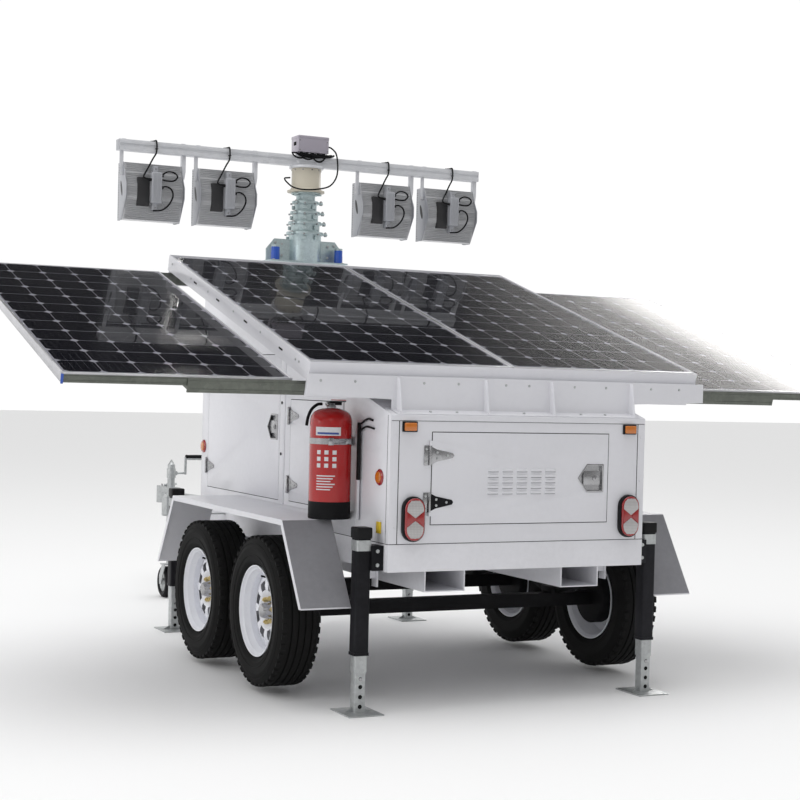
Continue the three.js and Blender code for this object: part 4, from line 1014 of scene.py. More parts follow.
# %% Tyres and wheels
TYRE_RADIUS, TYRE_HALF = 0.3445, 0.1025
RIM_RADIUS = 0.208
WINDOWS = 8
NUTS = 6
WHEEL_X, WHEEL_HEIGHT = 0.897, 0.370
SIDEWALL_RINGS = (
    ((0.252, 0.0995), (0.255, 0.1023), (0.258, 0.0985)),
    ((0.305, 0.0975), (0.308, 0.0995), (0.311, 0.0955)),
)


def tyre_part():
    crown, half = TYRE_RADIUS, TYRE_HALF
    profile = [(RIM_RADIUS - 0.012, 0.066), (RIM_RADIUS + 0.004, 0.078), (RIM_RADIUS + 0.010, 0.088)]
    profile += [(0.232, 0.0965), (0.236, 0.0985), (0.240, 0.0975), (0.262, 0.1010), (0.284, 0.1022)]
    profile += [(0.288, 0.1025), (0.291, 0.1012), (0.312, 0.0965), (0.326, 0.0890), (0.334, 0.0840)]
    profile += [(crown - 0.004, 0.0740), (crown - 0.0012, 0.064)]
    for middle in (0.048, 0.016):
        profile += [(crown - 0.0006, middle + 0.0050), (crown - 0.0085, middle + 0.0032)]
        profile += [(crown - 0.0085, middle - 0.0032), (crown - 0.0004, middle - 0.0050)]
    mirrored = [(r, -h) for r, h in reversed(profile)]
    return spun(profile + mirrored, 96, "x")


def shoulder_blocks(piece, count=44):
    """Lugs round both shoulders, which give the tyre its outline."""
    for side in (-1, 1):
        for k in range(count):
            angle = math.tau * (k + (0.5 if side > 0 else 0)) / count
            low = (side * 0.0790 - 0.0105, -0.0150, TYRE_RADIUS - 0.0150)
            high = (side * 0.0790 + 0.0105, 0.0150, TYRE_RADIUS - 0.0012)
            lug = block(low, high, 0.0022)
            lean = Matrix.Rotation(side * 0.16, 4, "Y")
            centre = Matrix.Translation((side * 0.0790, 0, TYRE_RADIUS - 0.008))
            turn = Matrix.Rotation(angle, 4, "X")
            piece.add(lug, tyre_rubber, turn @ centre @ lean @ centre.inverted())


def wheel_disc():
    """A pressed disc: rings of faces with eight windows left out, then thickened."""
    part = bmesh.new()
    rings = [(0.030, 0.014), (0.060, 0.014), (0.070, 0.018), (0.082, 0.030), (0.092, 0.035)]
    rings += [(0.114, 0.038), (0.136, 0.034), (0.146, 0.028), (0.168, 0.016), (0.188, 0.012)]
    steps = WINDOWS * 10
    grid = []
    for radius, depth in rings:
        row = []
        for k in range(steps):
            angle = math.tau * k / steps
            row.append(part.verts.new((depth, radius * math.cos(angle), radius * math.sin(angle))))
        grid.append(row)
    for r in range(len(rings) - 1):
        for k in range(steps):
            in_window = 4 <= r <= 5 and 2 <= k % 10 <= 7
            if not in_window:
                n = (k + 1) % steps
                part.faces.new((grid[r][k], grid[r][n], grid[r + 1][n], grid[r + 1][k]))
    bmesh.ops.recalc_face_normals(part, faces=part.faces)
    bmesh.ops.solidify(part, geom=part.faces, thickness=0.004)
    return soften(part, 0.001, 2, 50)


def wheel(side, place, y):
    sign = SIDES[side]
    body = f"wheel_{side}_{place}"
    centre = moved(sign * WHEEL_X, y, WHEEL_HEIGHT, 180 if sign < 0 else 0)
    rubber = Piece(f"looks_tyre_{side}_{place}")
    rubber.add(tyre_part(), tyre_rubber)
    shoulder_blocks(rubber)
    for ring in SIDEWALL_RINGS:
        rubber.add(spun(ring, 96, "x"), tyre_rubber)
    rubber.move(centre)
    rubber.ride(body, f"tyre_{side}_{place}", slot="tyre")
    steel = Piece(f"looks_rim_{side}_{place}")
    barrel = [(0.2075, 0.0880), (0.2035, 0.0876), (0.1990, 0.078), (0.1905, 0.072), (0.186, 0.060)]
    barrel += [(0.176, 0.046), (0.176, -0.020), (0.186, -0.050), (0.1905, -0.072), (0.1990, -0.078)]
    barrel += [(0.2035, -0.0876), (0.2075, -0.0880), (0.2080, -0.0840), (0.2030, -0.0740)]
    barrel += [(0.1945, -0.0690), (0.190, -0.048), (0.180, -0.018), (0.180, 0.044), (0.190, 0.058)]
    barrel += [(0.1945, 0.0690), (0.2030, 0.0740), (0.2080, 0.0840)]
    steel.add(spun(barrel, 96, "x"), wheel_white)
    steel.add(wheel_disc(), wheel_white)
    hub = [(0.0, 0.008), (0.044, 0.008), (0.044, 0.020), (0.040, 0.024), (0.034, 0.052)]
    hub += [(0.030, 0.060), (0.020, 0.0655), (0.0, 0.0660)]
    steel.add(spun(hub, 48, "x"), stainless)
    drum = [(0.0, -0.086), (0.120, -0.086), (0.128, -0.078)]
    drum += [(0.128, -0.020), (0.118, -0.008), (0, -0.008)]
    steel.add(spun(drum, 64, "x", 0.001), underside_black)
    for k in range(NUTS):
        angle = math.tau * k / NUTS + 0.2
        y1, z1 = 0.0585 * math.cos(angle), 0.0585 * math.sin(angle)
        steel.add(hexagon((0.013, y1, z1), (0.034, y1, z1), 0.0115), yellow_zinc)
        steel.add(rod((0.030, y1, z1), (0.040, y1, z1), 0.0055, 14), yellow_zinc)
    valve = rod((0.030, 0.0, 0.150), (0.064, 0.0, 0.158), 0.0045, 12)
    steel.add(valve, black_rubber)
    steel.move(centre)
    steel.ride(body, f"rim_{side}_{place}", slot="wheel_paint")


for place, y in AXLES.items():
    for side in SIDES:
        wheel(side, place, y)

# %% [markdown]
# The fenders are bent sheet: a flat top over both wheels and a sloping skirt at each
# end, with a folded hem. A galvanised brace ties each one to the chassis.

# %% Fenders
BRACE_Y = 2.02

for side, sign in SIDES.items():
    dress(f"fender_{side}", "chassis", white, 0.0012, slot="white_paint")
    brace = Piece(f"fender_brace_{side}")
    x0, x1 = sorted((sign * 0.655, sign * 0.80))
    low, high = at(x0, BRACE_Y - 0.020, 0.700), at(x1, BRACE_Y + 0.020, 0.706)
    brace.add(block(low, high, 0.001), galvanised)
    brace.ride("chassis")

# %% [markdown]
# Each jack is a square black tube with a rounded section, a plated band under its cap,
# an inner tube and a galvanised drop leg with pin holes, pinned above a flat foot.

# %% Jacks
def rounded(half, corner):
    """A square outline with rounded corners."""
    points = []
    flat = half - corner
    for k, (sx, sy) in enumerate(((1, 1), (-1, 1), (-1, -1), (1, -1))):
        for step in range(5):
            angle = math.pi / 2 * (k + step / 4)
            x, y = corner * math.cos(angle), corner * math.sin(angle)
            points.append((sx * flat + x, sy * flat + y))
    return points


def square_tube(half, low, high, radius, wall=0.0035):
    """A square tube with rounded corners, open at both ends."""
    inner = rounded(half - wall, max(radius - wall, 0.001))
    return framed(rounded(half, radius), inner, low, high)


JACK_X = 0.738

for place, y in JACKS.items():
    for side, sign in SIDES.items():
        where = moved(sign * JACK_X, y, 0)
        outer = Piece(f"looks_jack_tube_{side}_{place}")
        outer.add(square_tube(0.0325, 0.250, 0.790, 0.008), satin_black)
        outer.add(block((-0.0365, -0.0365, 0.752), (0.0365, 0.0365, 0.801), 0.006, 3), black_plastic)
        outer.add(square_tube(0.0345, 0.700, 0.746, 0.008, 0.002), galvanised)
        outer.add(square_tube(0.0350, 0.250, 0.262, 0.008, 0.0025), satin_black)
        reach = -sign * 0.0845
        x0, x1 = sorted((-sign * 0.030, reach))
        outer.add(block((x0, -0.048, 0.615), (x1, 0.048, 0.723), 0.003), satin_black)
        for h in (0.640, 0.700):
            for v in (-0.034, 0.034):
                bolt = hexagon((-sign * 0.055, v * 1.41, h), (-sign * 0.055, v * 1.55, h), 0.009)
                outer.add(bolt, galvanised)
        outer.move(where)
        outer.ride("chassis", f"jack_tube_{side}_{place}", slot="black_steel")
        leg = Piece(f"looks_jack_leg_{side}_{place}")
        leg.add(square_tube(0.0285, 0.174, 0.500, 0.006), galvanised)
        leg.add(square_tube(0.0250, 0.005, 0.190, 0.005), galvanised)
        leg.add(block((-0.0825, -0.100, 0.0), (0.0825, 0.100, 0.006), 0.0015), galvanised)
        for sx in (-1, 1):
            web = [(sx * 0.024, 0.005), (sx * 0.062, 0.005), (sx * 0.024, 0.027)]
            leg.add(prism(web, -0.003, 0.003, "y", 0.0008), galvanised)
        for h in (0.030, 0.072, 0.115):
            for v in (-1, 1):
                hole = rod((0, v * 0.0248, h), (0, v * 0.0253, h), 0.0095, 24, 0)
                leg.add(hole, dark_gap)
        leg.add(rod((0, -0.0282, 0.150), (0, 0.0282, 0.150), 0.0085, 24, 0.001), stainless)
        leg.move(where)
        leg.ride(f"leg_{side}_{place}", f"jack_leg_{side}_{place}", slot="galvanised")

# %% [markdown]
# The extinguisher is a spun steel bottle with a black foot ring, a strap round its
# middle and a valve on top. The label is a plain pale panel with coloured bars, because
# nothing that can be read belongs on it.

# %% Fire extinguisher
EXTINGUISHER = moved(-0.767, 0.375, 0)
bottle = Piece("looks_fire_extinguisher")
shell = [(0.0, 0.832), (0.086, 0.832), (0.0925, 0.842), (0.0935, 0.860), (0.0935, 1.238)]
shell += [(0.0925, 1.255), (0.088, 1.272), (0.078, 1.286), (0.062, 1.296)]
shell += [(0.040, 1.303), (0.024, 1.306), (0.0, 1.3065)]
bottle.add(spun(shell, 72), red_paint)
foot = [(0.0, 0.8155), (0.0915, 0.8155), (0.0938, 0.820), (0.0938, 0.892), (0.0915, 0.898), (0.0, 0.898)]
bottle.add(spun(foot, 72), black_rubber)
collar_profile = [(0.0, 1.300), (0.021, 1.300), (0.021, 1.312), (0.017, 1.316), (0.017, 1.326), (0, 1.326)]
bottle.add(spun(collar_profile, 32, "z", 0.0008), stainless)
bottle.add(block((-0.014, -0.012, 1.318), (0.046, 0.012, 1.332), 0.003), black_plastic)
bottle.add(block((-0.010, -0.009, 1.332), (0.068, 0.009, 1.337), 0.002), black_plastic)
bottle.add(block((0.000, -0.009, 1.339), (0.068, 0.009, 1.343), 0.0015), red_paint)
bottle.add(rod((-0.014, 0, 1.322), (-0.026, 0, 1.322), 0.011, 24), stainless)
strap = [(0.0942, 1.146), (0.0952, 1.146), (0.0952, 1.172), (0.0942, 1.172)]
bottle.add(spun(strap, 72), stainless)
bottle.move(EXTINGUISHER)
bottle.ride("chassis", "fire_extinguisher", slot="red_paint")


def curved_patch(radius, a0, a1, z0, z1, thickness=0.0004, steps=24):
    """A label wrapped round the bottle between two angles."""
    part = bmesh.new()
    rows = []
    for z in (z0, z1):
        row = []
        for k in range(steps + 1):
            angle = math.radians(a0 + (a1 - a0) * k / steps)
            row.append(part.verts.new((radius * math.cos(angle), radius * math.sin(angle), z)))
        rows.append(row)
    for k in range(steps):
        part.faces.new((rows[0][k], rows[0][k + 1], rows[1][k + 1], rows[1][k]))
    bmesh.ops.recalc_face_normals(part, faces=part.faces)
    bmesh.ops.solidify(part, geom=part.faces, thickness=thickness)
    return part


label = Piece("extinguisher_label")
blue_ink = paint("label_blue", (0.03, 0.07, 0.30), 0.4)
facing = -122
label.add(curved_patch(0.0940, facing - 36, facing + 36, 1.185, 1.222), label_pale, EXTINGUISHER)
label.add(curved_patch(0.0946, facing - 30, facing + 30, 1.190, 1.199), blue_ink, EXTINGUISHER)
for row in range(3):
    for column in (-1, 0, 1):
        start = facing + column * 22 - 8
        z = 1.120 - row * 0.029
        patch = curved_patch(0.0941, start, start + 11, z - 0.018, z, steps=6)
        label.add(patch, label_pale, EXTINGUISHER)
for row in range(6):
    z = 1.010 - row * 0.012
    patch = curved_patch(0.0941, facing - 30, facing + 22 - 6 * (row % 3), z - 0.005, z)
    label.add(patch, label_pale, EXTINGUISHER)
label.ride("chassis")

clasp = Piece("extinguisher_clasp")
for spread in (-0.010, 0.010):
    wire = [(-0.045, -0.090, 1.159 + spread), (-0.020, -0.099, 1.160 + spread)]
    wire += [(0.020, -0.097, 1.160 + spread * 0.6), (0.050, -0.084, 1.159)]
    clasp.add(tube(wire, 0.0022, 10), stainless, EXTINGUISHER)
clasp.add(block((-0.052, -0.100, 1.143), (-0.028, -0.086, 1.175), 0.002), stainless, EXTINGUISHER)
clasp.add(block((0.030, -0.0935, 1.149), (0.058, -0.0765, 1.170), 0.002), stainless, EXTINGUISHER)
hose = [(-0.026, 0, 1.322), (-0.050, 0.004, 1.318), (-0.074, 0.010, 1.296)]
hose += [(-0.088, 0.014, 1.262), (-0.094, 0.016, 1.224)]
hose = [(x * 0.98, y + 0.045, z) for x, y, z in hose]
clasp.add(tube(hose, 0.0070, 14), black_rubber, EXTINGUISHER)
upper_arm = ((0.100, -0.085, 1.235), (0.108, -0.150, 1.262), (0.110, -0.200, 1.258))
lower_arm = ((0.100, -0.085, 1.205), (0.107, -0.140, 1.228), (0.110, -0.215, 1.222))
clasp.add(tube(upper_arm, 0.0050, 10), black_plastic, EXTINGUISHER)
clasp.add(tube(lower_arm, 0.0045, 10), black_plastic, EXTINGUISHER)
clasp.add(block((0.094, -0.092, 0.99), (0.106, -0.072, 1.245), 0.002), black_plastic, EXTINGUISHER)
tag_yellow = paint("tag_yellow", (0.72, 0.50, 0.01), 0.5)
clasp.add(block(at(-0.660, 0.070, 0.772), at(-0.654, 0.112, 0.822), 0.002), tag_yellow)
clasp.ride("chassis")

# %% [markdown]
# The skirts at both ends of each fender lie in shade, so a thin skin of mid-grey painted
# shade is laid over their outer faces.

# %% Fender skirts
SKIRT = ((0.104, 0.4562), (0.3345, 0.8112))
SKIRT_OUT = (-0.839, 0.545)
FENDER_CENTRE = 1.084

for side, sign in SIDES.items():
    skins = Piece(f"fender_skirt_shade_{side}")
    for mirror in (1, -1):
        near, far = [], []
        for y, z in SKIRT:
            for reach, row in ((0.0004, near), (0.0016, far)):
                py = y + SKIRT_OUT[0] * reach
                if mirror < 0:
                    py = 2 * FENDER_CENTRE - py
                row.append((py + REAR_FACE, z + SKIRT_OUT[1] * reach))
        x0, x1 = sorted((sign * 0.7735, sign * 1.0060))
        skins.add(prism(near + far[::-1], x0, x1, "x", 0), painted_shade_grey)
    skins.ride("chassis")

# %% [markdown]
# The mast is five galvanised tubes, one inside the next. Each collar has three ears with
# a bolt through them, and the base carries two wings whose blue pads guide the lamp bar
# when the mast is lowered.

# %% Mast
dress("mast_base", "chassis", mast_zinc, 0.0015, slot="galvanised_mast")
STAGE_TOPS = (2.282, 2.342, 2.402, 2.462)
for n in range(1, 5):
    dress(f"mast_stage_{n}", f"stage_{n}", mast_zinc, 0.0012, slot="galvanised_mast")


def collar_fittings(name, body, radius, top):
    """Bolts through the three ears, a grease nipple and a clamp block on one collar."""
    piece = Piece(name)
    for degrees in (90, 210, 330):
        angle = math.radians(degrees)
        x, y = (radius + 0.025) * math.cos(angle), (radius + 0.025) * math.sin(angle)
        piece.add(hexagon((x, y, top), (x, y, top + 0.007), 0.0095), galvanised)
        piece.add(rod((x, y, top + 0.006), (x, y, top + 0.012), 0.005, 14), galvanised)
        piece.add(hexagon((x, y, top - 0.015), (x, y, top - 0.008), 0.0095), galvanised)
    for degrees in (35, 150, 245, 290):
        angle = math.radians(degrees)
        out = Vector((math.cos(angle), math.sin(angle), 0))
        foot = out * (radius + 0.012) + Vector((0, 0, top - 0.008))
        piece.add(rod(foot, foot + out * 0.012, 0.0055, 14), stainless)
        turn = Matrix.Translation(out * (radius + 0.004)) @ Matrix.Rotation(angle, 4, "Z")
        piece.add(block((-0.003, -0.014, top - 0.040), (0.010, 0.014, top - 0.018), 0.002), mast_zinc, turn)
    piece.move(moved(0, MAST_Y, 0))
    piece.ride(body)


for n, top in enumerate(STAGE_TOPS):
    body = f"stage_{n}" if n else "chassis"
    collar_fittings(f"mast_collar_{n}", body, 0.095 - 0.010 * n, top)

mast_trim = Piece("mast_trim")
cap = [(0.0, 2.119), (0.0252, 2.119), (0.0252, 2.158), (0.0242, 2.161), (0.0242, 2.190)]
cap += [(0.0215, 2.200), (0.0130, 2.206), (0.0, 2.207)]
for sign in (-1, 1):
    mast_trim.add(spun(cap, 40), blue_plastic, moved(sign * 0.198, MAST_Y - 0.042, 0))
    for x, z in ((0.145, 2.150), (0.145, 2.215), (0.185, 2.222)):
        mast_trim.add(screw(at(sign * x, MAST_Y - 0.0052, z), (0, -1, 0), 0.008, 0.004), galvanised)
    for y in (-0.060, 0.060):
        mast_trim.add(screw(at(sign * 0.215, MAST_Y + y, 2.118), (0, 0, 1), 0.009, 0.005), galvanised)
mast_trim.ride("chassis")

# %% [markdown]
# A cream drum on the top stage turns the whole lamp bar. The bar is an aluminium
# extrusion with a groove, carried in a saddle, with a pair of flat arms for each lamp.

# %% Rotator, bar and junction box
dress("lamp_rotator", "stage_4", beige_cover, 0.0015)
rotator_screws = Piece("rotator_screws")
for k in range(10):
    angle = math.tau * (k + 0.5) / 10
    out = Vector((math.cos(angle), math.sin(angle), 0))
    foot = out * 0.0848 + Vector(at(0, MAST_Y, 2.648))
    rotator_screws.add(screw(foot, out, 0.0045, 0.003), stainless)
rotator_screws.ride("stage_4")

dress("lamp_crossbar", "lamp_head", bar_grey, 0.0020)
bar_trim = Piece("lamp_bar_trim")
for sign in (-1, 1):
    x0, x1 = sorted((sign * 1.1262, sign * 1.1290))
    low, high = at(x0, MAST_Y - 0.029, 2.673), at(x1, MAST_Y + 0.029, 2.731)
    bar_trim.add(block(low, high, 0.001), driver_grey)
    clamp_x = sign * 0.060
    low, high = at(clamp_x - 0.012, MAST_Y - 0.033, 2.669), at(clamp_x + 0.012, MAST_Y + 0.033, 2.7355)
    bar_trim.add(block(low, high, 0.003), bar_grey)
for x in LAMP_CENTRES:
    for sign in (-1, 1):
        outside = x + sign * 0.1727
        for z, size in ((2.550, 0.0125), (2.600, 0.006)):
            bolt = hexagon(at(outside, MAST_Y, z), at(outside + sign * 0.007, MAST_Y, z), size)
            bar_trim.add(bolt, stainless)
        leaf = [(0.1685, 2.537), (0.184, 2.537), (0.191, 2.580), (0.191, 2.672), (0.1685, 2.672)]
        leaf = [(x + sign * reach, z) for reach, z in leaf]
        low_y, high_y = MAST_Y + REAR_FACE - 0.0160, MAST_Y + REAR_FACE - 0.0130
        bar_trim.add(prism(leaf, low_y, high_y, "y", 0.0006), bar_grey)
        low = at(x + sign * 0.1705 - 0.012, MAST_Y - 0.028, 2.7322)
        high = at(x + sign * 0.1705 + 0.012, MAST_Y + 0.028, 2.7350)
        bar_trim.add(block(low, high, 0.0008), bar_grey)
bar_trim.ride("lamp_head")

dress("junction_box", "lamp_head", lilac_case, 0.003)
box_trim = Piece("junction_box_trim")
low, high = at(-0.0765, MAST_Y - 0.0565, 2.828), at(0.1165, MAST_Y + 0.0565, 2.846)
box_trim.add(block(low, high, 0.0035), lilac_case)
for x in (-0.066, 0.106):
    for z in (2.762, 2.816):
        box_trim.add(screw(at(x, MAST_Y - 0.055, z), (0, -1, 0), 0.004, 0.002), stainless)
low, high = at(-0.0755, MAST_Y - 0.020, 2.790), at(-0.0735, MAST_Y + 0.020, 2.812)
box_trim.add(block(low, high, 0.001), dark_gap)
for k in range(5):
    x = -0.050 + 0.035 * k
    start, end = at(x, MAST_Y - 0.040, 2.738), at(x, MAST_Y - 0.040, 2.751)
    box_trim.add(rod(start, end, 0.009, 20), black_plastic)
box_trim.ride("lamp_head")

# %% [markdown]
# Black leads leave the box through glands, are bunched beneath it, run along the bar and
# drop to each lamp. One longer loop comes down the mast past the rotator.

# %% Leads
leads = Piece("looks_lamp_leads")
trunk = [at(x, MAST_Y + 0.0343, 2.718) for x in (-0.95, -0.5, -0.1, 0.1, 0.5, 0.95)]
leads.add(tube(trunk, 0.0042, 12, 2), black_rubber)
drop = [(0, 34.3, 2712), (0, 34.3, 2724), (0, 36.3, 2734.3), (0, 32.3, 2739.3), (2, 22.3, 2738.3)]
drop += [(4, 0, 2737.3), (8, -26.3, 2737.3), (10, -34.3, 2737.3), (12, -37.3, 2730.3)]
drop += [(14, -38.3, 2708), (10, -40.3, 2668), (-12, -48.3, 2632), (-40, -56.3, 2580)]
drop += [(-62, -66, 2544), (-72, -84, 2526), (-58, -92, 2516), (-30.5, -92, 2512)]
for number, centre in enumerate(LAMP_CENTRES, 1):
    path = [at(centre + x / 1000, MAST_Y + y / 1000, z / 1000) for x, y, z in drop]
    run = len(path) - 8
    leads.add(tube(path[: run + 1], 0.0045, 12, 4), black_rubber)
    slack = Piece(f"lamp_drop_{number}")
    slack.add(tube(path[run:], 0.0045, 12, 4), black_rubber)
    slack.bend("lamp_head", f"lamp_{number}")
    low, high = at(centre + 0.006, MAST_Y - 0.0405, 2.690), at(centre + 0.021, MAST_Y - 0.0305, 2.695)
    leads.add(block(low, high, 0.001), black_plastic)
leads.ride("lamp_head", "lamp_leads", slot="cord_black")

loop = [(115.3, 0, 2798), (130, 0, 2798), (152, -8, 2792), (176, -26, 2758), (174, -56, 2682)]
loop += [(150, -92, 2612), (96, -124, 2556), (20, -136, 2532), (-60, -128, 2524)]
loop += [(-118, -96, 2536), (-140, -40, 2572), (-128, 16, 2598), (-104, 30, 2604), (-88, 30, 2606)]
cable = Piece("looks_mast_cable")
loop = [at(x / 1000, MAST_Y + y / 1000, z / 1000) for x, y, z in loop]
cable.add(tube(loop, 0.0045, 14, 6), black_rubber)
cable.ride("lamp_head", "mast_cable", slot="cord_black")

bundle = Piece("lead_bundle")
HANGS = ((-0.10, 0.14, 0.006), (-0.09, 0.13, 0.014), (-0.06, 0.03, 0.036), (0.02, 0.10, 0.044))
HANGS += ((-0.11, -0.02, 0.030), (0.00, 0.15, 0.018), (-0.08, 0.11, 0.022), (-0.04, 0.15, 0.010))
for k, (x0, x1, sag) in enumerate(HANGS):
    depth = MAST_Y - 0.042 - 0.006 * (k % 3)
    path = []
    for step in range(9):
        angle = math.pi * step / 8
        x = (x0 + x1) / 2 - (x1 - x0) / 2 * math.cos(angle)
        path.append(at(x, depth, 2.745 - sag * math.sin(angle)))
    bundle.add(tube(path, 0.0048, 12, 3), black_rubber)
bundle.ride("lamp_head")

# %% [markdown]
# Each floodlight is a cast body with cooling fins across its back, painted shade on a dark
# block in the middle of its back, and a driver box on two feet. Flat side plates with a row
# of holes and a slanted slot hold it in the yoke, and the front is a plate of small clear lenses.

# %% Floodlights
LAMP_BODY = [(0.066, 0.058), (-0.015, 0.058), (-0.034, 0.0), (-0.060, -0.070)]
LAMP_BODY += [(-0.060, -0.140), (-0.008, -0.256), (0.066, -0.256)]
LAMP_PLATE = [(0.080, 0.060), (-0.015, 0.060), (-0.040, 0.0), (-0.080, -0.070)]
LAMP_PLATE += [(-0.080, -0.130), (0.005, -0.260), (0.080, -0.260)]
FIN_STEP = 0.0105
fin_silver = paint("fin_silver", (0.60, 0.605, 0.62), 0.36)
# Near black for the lens rows, the plate holes and the slot; on each lamp's back the same colour is painted
# shade.
lamp_black_and_painted_shade = paint("lamp_black_and_painted_shade", (0.018, 0.018, 0.020), 0.55)


def lamp_fins(piece):
    """Thin horizontal fins that follow the back of the body, parted round the dark block of painted shade.
    """
    back = LAMP_BODY[1:6]
    for (y0, z0), (y1, z1) in zip(back, back[1:]):
        length = math.hypot(y1 - y0, z1 - z0)
        ny, nz = -(z0 - z1) / length, -(y1 - y0) / length
        for k in range(int(length / FIN_STEP)):
            t = (k + 0.5) * FIN_STEP / length
            y, z = y0 + (y1 - y0) * t, z0 + (z1 - z0) * t
            tip_y, tip_z = y + ny * 0.009, z + nz * 0.009
            outline = [(y + 0.002, z - 0.0012), (y + 0.002, z + 0.0012)]
            outline += [(tip_y, tip_z + 0.0007), (tip_y, tip_z - 0.0007)]
            in_painted_shade = -0.185 < z < -0.020
            spans = ((-0.160, -0.102), (-0.030, 0.160)) if in_painted_shade else ((-0.160, 0.160),)
            for x0, x1 in spans:
                piece.add(prism(outline, x0, x1, "x", 0), fin_silver)


def lamp_driver(piece):
    """The driver box, its feet and the leads looping out of it."""
    piece.add(block((-0.014, -0.074, -0.202), (0.014, -0.020, 0.042), 0.003), driver_grey)
    piece.add(block((-0.029, -0.104, -0.165), (0.029, -0.060, 0.005), 0.005, 3), driver_grey)
    for x in (-0.020, 0.0, 0.020):
        piece.add(block((x - 0.003, -0.1062, -0.150), (x + 0.003, -0.1030, -0.010), 0.001), driver_grey)
    for z in (-0.190, 0.026):
        piece.add(screw((0.0, -0.074, z), (0, -1, 0), 0.005, 0.003), stainless)
    upper = [(0.027, -0.084, -0.012), (0.060, -0.094, 0.012), (0.100, -0.090, 0.010)]
    upper += [(0.122, -0.084, -0.010), (0.100, -0.088, -0.034), (0.060, -0.092, -0.038)]
    upper += [(0.027, -0.088, -0.032)]
    lower = [(0.027, -0.086, -0.078), (0.056, -0.094, -0.070), (0.086, -0.094, -0.086)]
    lower += [(0.094, -0.094, -0.122), (0.074, -0.088, -0.168), (0.036, -0.080, -0.200)]
    lower += [(-0.012, -0.072, -0.206)]
    for path in (upper, lower):
        piece.add(tube(path, 0.0046, 12, 6), black_rubber)
        x, y, z = path[0]
        piece.add(rod(path[0], (x + 0.014, y - 0.002, z + 0.002), 0.008, 16), black_plastic)
    piece.add(rod((-0.030, -0.092, -0.038), (-0.044, -0.092, -0.036), 0.008, 16), black_plastic)


def side_plate(piece, sign):
    """One flat plate with its bend at the front, a row of holes and a slanted slot."""
    x0, x1 = sorted((sign * 0.1650, sign * 0.1680))
    piece.add(prism(LAMP_PLATE, x0, x1, "x", 0.0006), lamp_grey)
    face = sign * 0.1680
    for k in range(22):
        z = 0.048 - 0.0138 * k
        piece.add(rod((face, 0.066, z), (face + sign * 0.0003, 0.066, z), 0.0036, 12, 0), lamp_black_and_painted_shade)
    slot = []
    for step in range(16):
        angle = math.tau * step / 16
        along, across = 0.046 * math.cos(angle), 0.014 * math.sin(angle)
        slot.append((0.012 + along * 0.35 + across * 0.94, -0.085 + along * 0.94 - across * 0.35))
    s0, s1 = sorted((face, face + sign * 0.0004))
    piece.add(prism(slot, s0, s1, "x", 0), lamp_black_and_painted_shade)
    lip0, lip1 = sorted((sign * 0.1540, sign * 0.1680))
    piece.add(block((lip0, 0.078, -0.259), (lip1, 0.080, 0.059), 0.0006), lamp_grey)


def lamp_face(piece):
    """The front: a reflector plate carrying rows of moulded lenses on dark backings."""
    piece.add(block((-0.163, 0.062, -0.254), (0.163, 0.067, 0.056), 0.001), panel_silver)
    for column in range(3):
        left = -0.155 + 0.1045 * column
        piece.add(block((left, 0.067, -0.246), (left + 0.101, 0.070, 0.048), 0.0015), lamp_black_and_painted_shade)
        for i in range(4):
            for j in range(11):
                centre = (left + 0.0155 + 0.0233 * i, 0.070, -0.231 + 0.0264 * j)
                dome = [(0.0, 0.0), (0.0098, 0.0), (0.0092, 0.0030), (0.0060, 0.0058), (0.0, 0.0068)]
                place = Matrix.Translation(centre) @ Matrix.Rotation(math.radians(-90), 4, "X")
                piece.add(spun(dome, 14), clear_lens, place)


def floodlight(n, centre):
    piece = Piece(f"looks_floodlight_{n}")
    piece.add(prism(LAMP_BODY, -0.164, 0.164, "x", 0.003), fin_silver)
    lamp_fins(piece)
    # A dark block in the middle of the back: painted shade where the back lies in shadow.
    piece.add(block((-0.100, -0.0685, -0.182), (-0.032, -0.020, -0.024), 0.003), lamp_black_and_painted_shade)
    lamp_driver(piece)
    side_plate(piece, -1)
    side_plate(piece, 1)
    lamp_face(piece)
    place = moved(centre, MAST_Y, LAMP_PIVOT)
    piece.move(place)
    piece.ride(f"lamp_{n}", f"floodlight_{n}", slot="lamp_metal")


for n, centre in enumerate(LAMP_CENTRES, 1):
    floodlight(n, centre)

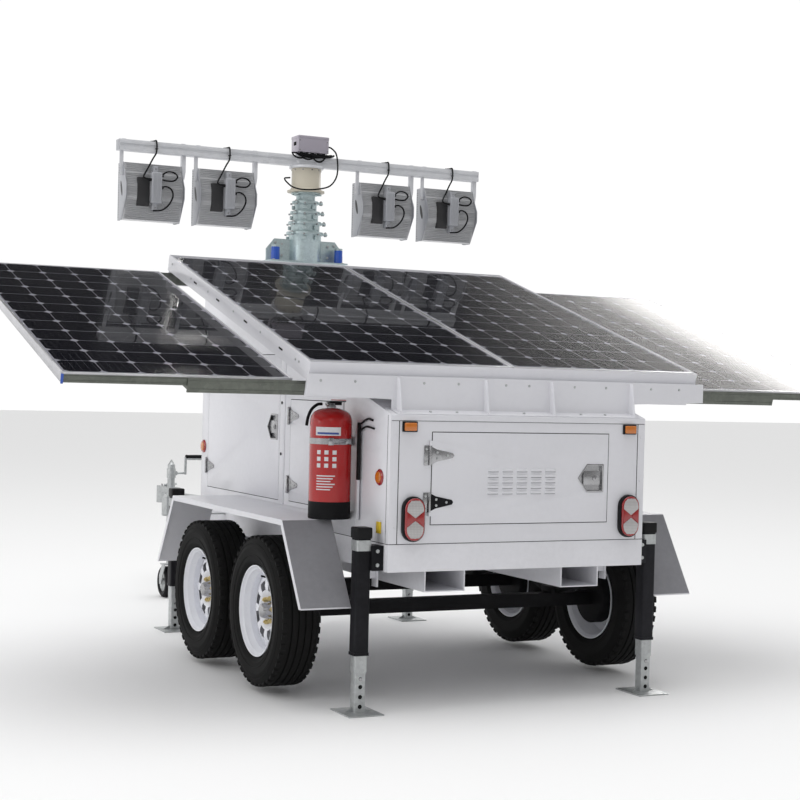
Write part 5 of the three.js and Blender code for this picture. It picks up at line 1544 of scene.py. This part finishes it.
# %% [markdown]
# Ahead of the cabinet are the hitch and the jockey wheel: a galvanised A-frame, a cast
# coupler with its release lever, and a screw tube whose crank lifts a small wheel.

# %% Drawbar, coupler and jockey wheel
dress("drawbar", "chassis", galvanised, 0.0020, slot="galvanised_drawbar")
dress("coupler_lever", "coupler_handle", galvanised, 0.0020)
dress("jockey_tube", "chassis", galvanised, 0.0015)
dress("jockey_leg", "jockey_inner", galvanised, 0.0012)
dress("jockey_crank", "jockey_handle", galvanised, 0.0012)
hitch_trim = Piece("hitch_trim")
for y in (4.700, 4.800):
    for sign in (-1, 1):
        start, end = at(sign * 0.070, y, 0.560), at(sign * 0.078, y, 0.560)
        hitch_trim.add(hexagon(start, end, 0.012), stainless)
for sign in (-1, 1):
    start, end = at(sign * 0.0425, 4.970, 0.6612), at(sign * 0.050, 4.970, 0.6612)
    hitch_trim.add(rod(start, end, 0.010, 20), stainless)
hitch_trim.ride("chassis")

jockey_wheel = Piece("looks_jockey_wheel")
tread = [(0.062, -0.024), (0.070, -0.029), (0.088, -0.0298), (0.097, -0.024), (0.0998, -0.014)]
tread += [(0.1000, 0.0), (0.0998, 0.014), (0.097, 0.024), (0.088, 0.0298), (0.070, 0.029), (0.062, 0.024)]
centre = moved(-0.340, 3.940, 0.100)
jockey_wheel.add(spun(tread, 64, "x"), black_rubber, centre)
hub = [(0.0, -0.030), (0.020, -0.030), (0.024, -0.018), (0.056, -0.014), (0.064, -0.024), (0.066, -0.022)]
hub += [(0.066, 0.022), (0.064, 0.024), (0.056, 0.014), (0.024, 0.018), (0.020, 0.030), (0.0, 0.030)]
jockey_wheel.add(spun(hub, 64, "x"), galvanised, centre)
jockey_wheel.ride("jockey_roller", "jockey_wheel", slot="solid_rubber")

grip = Piece("jockey_grip")
sleeve = [(0.0, 0.0), (0.0125, 0.0), (0.0142, 0.003), (0.0130, 0.020), (0.0138, 0.070)]
sleeve += [(0.0130, 0.120), (0.0142, 0.141), (0.0125, 0.1445), (0.0, 0.1445)]
grip.add(spun(sleeve, 32, "x"), black_rubber, moved(-0.2455, 3.880, 0.915))
grip.ride("jockey_handle")
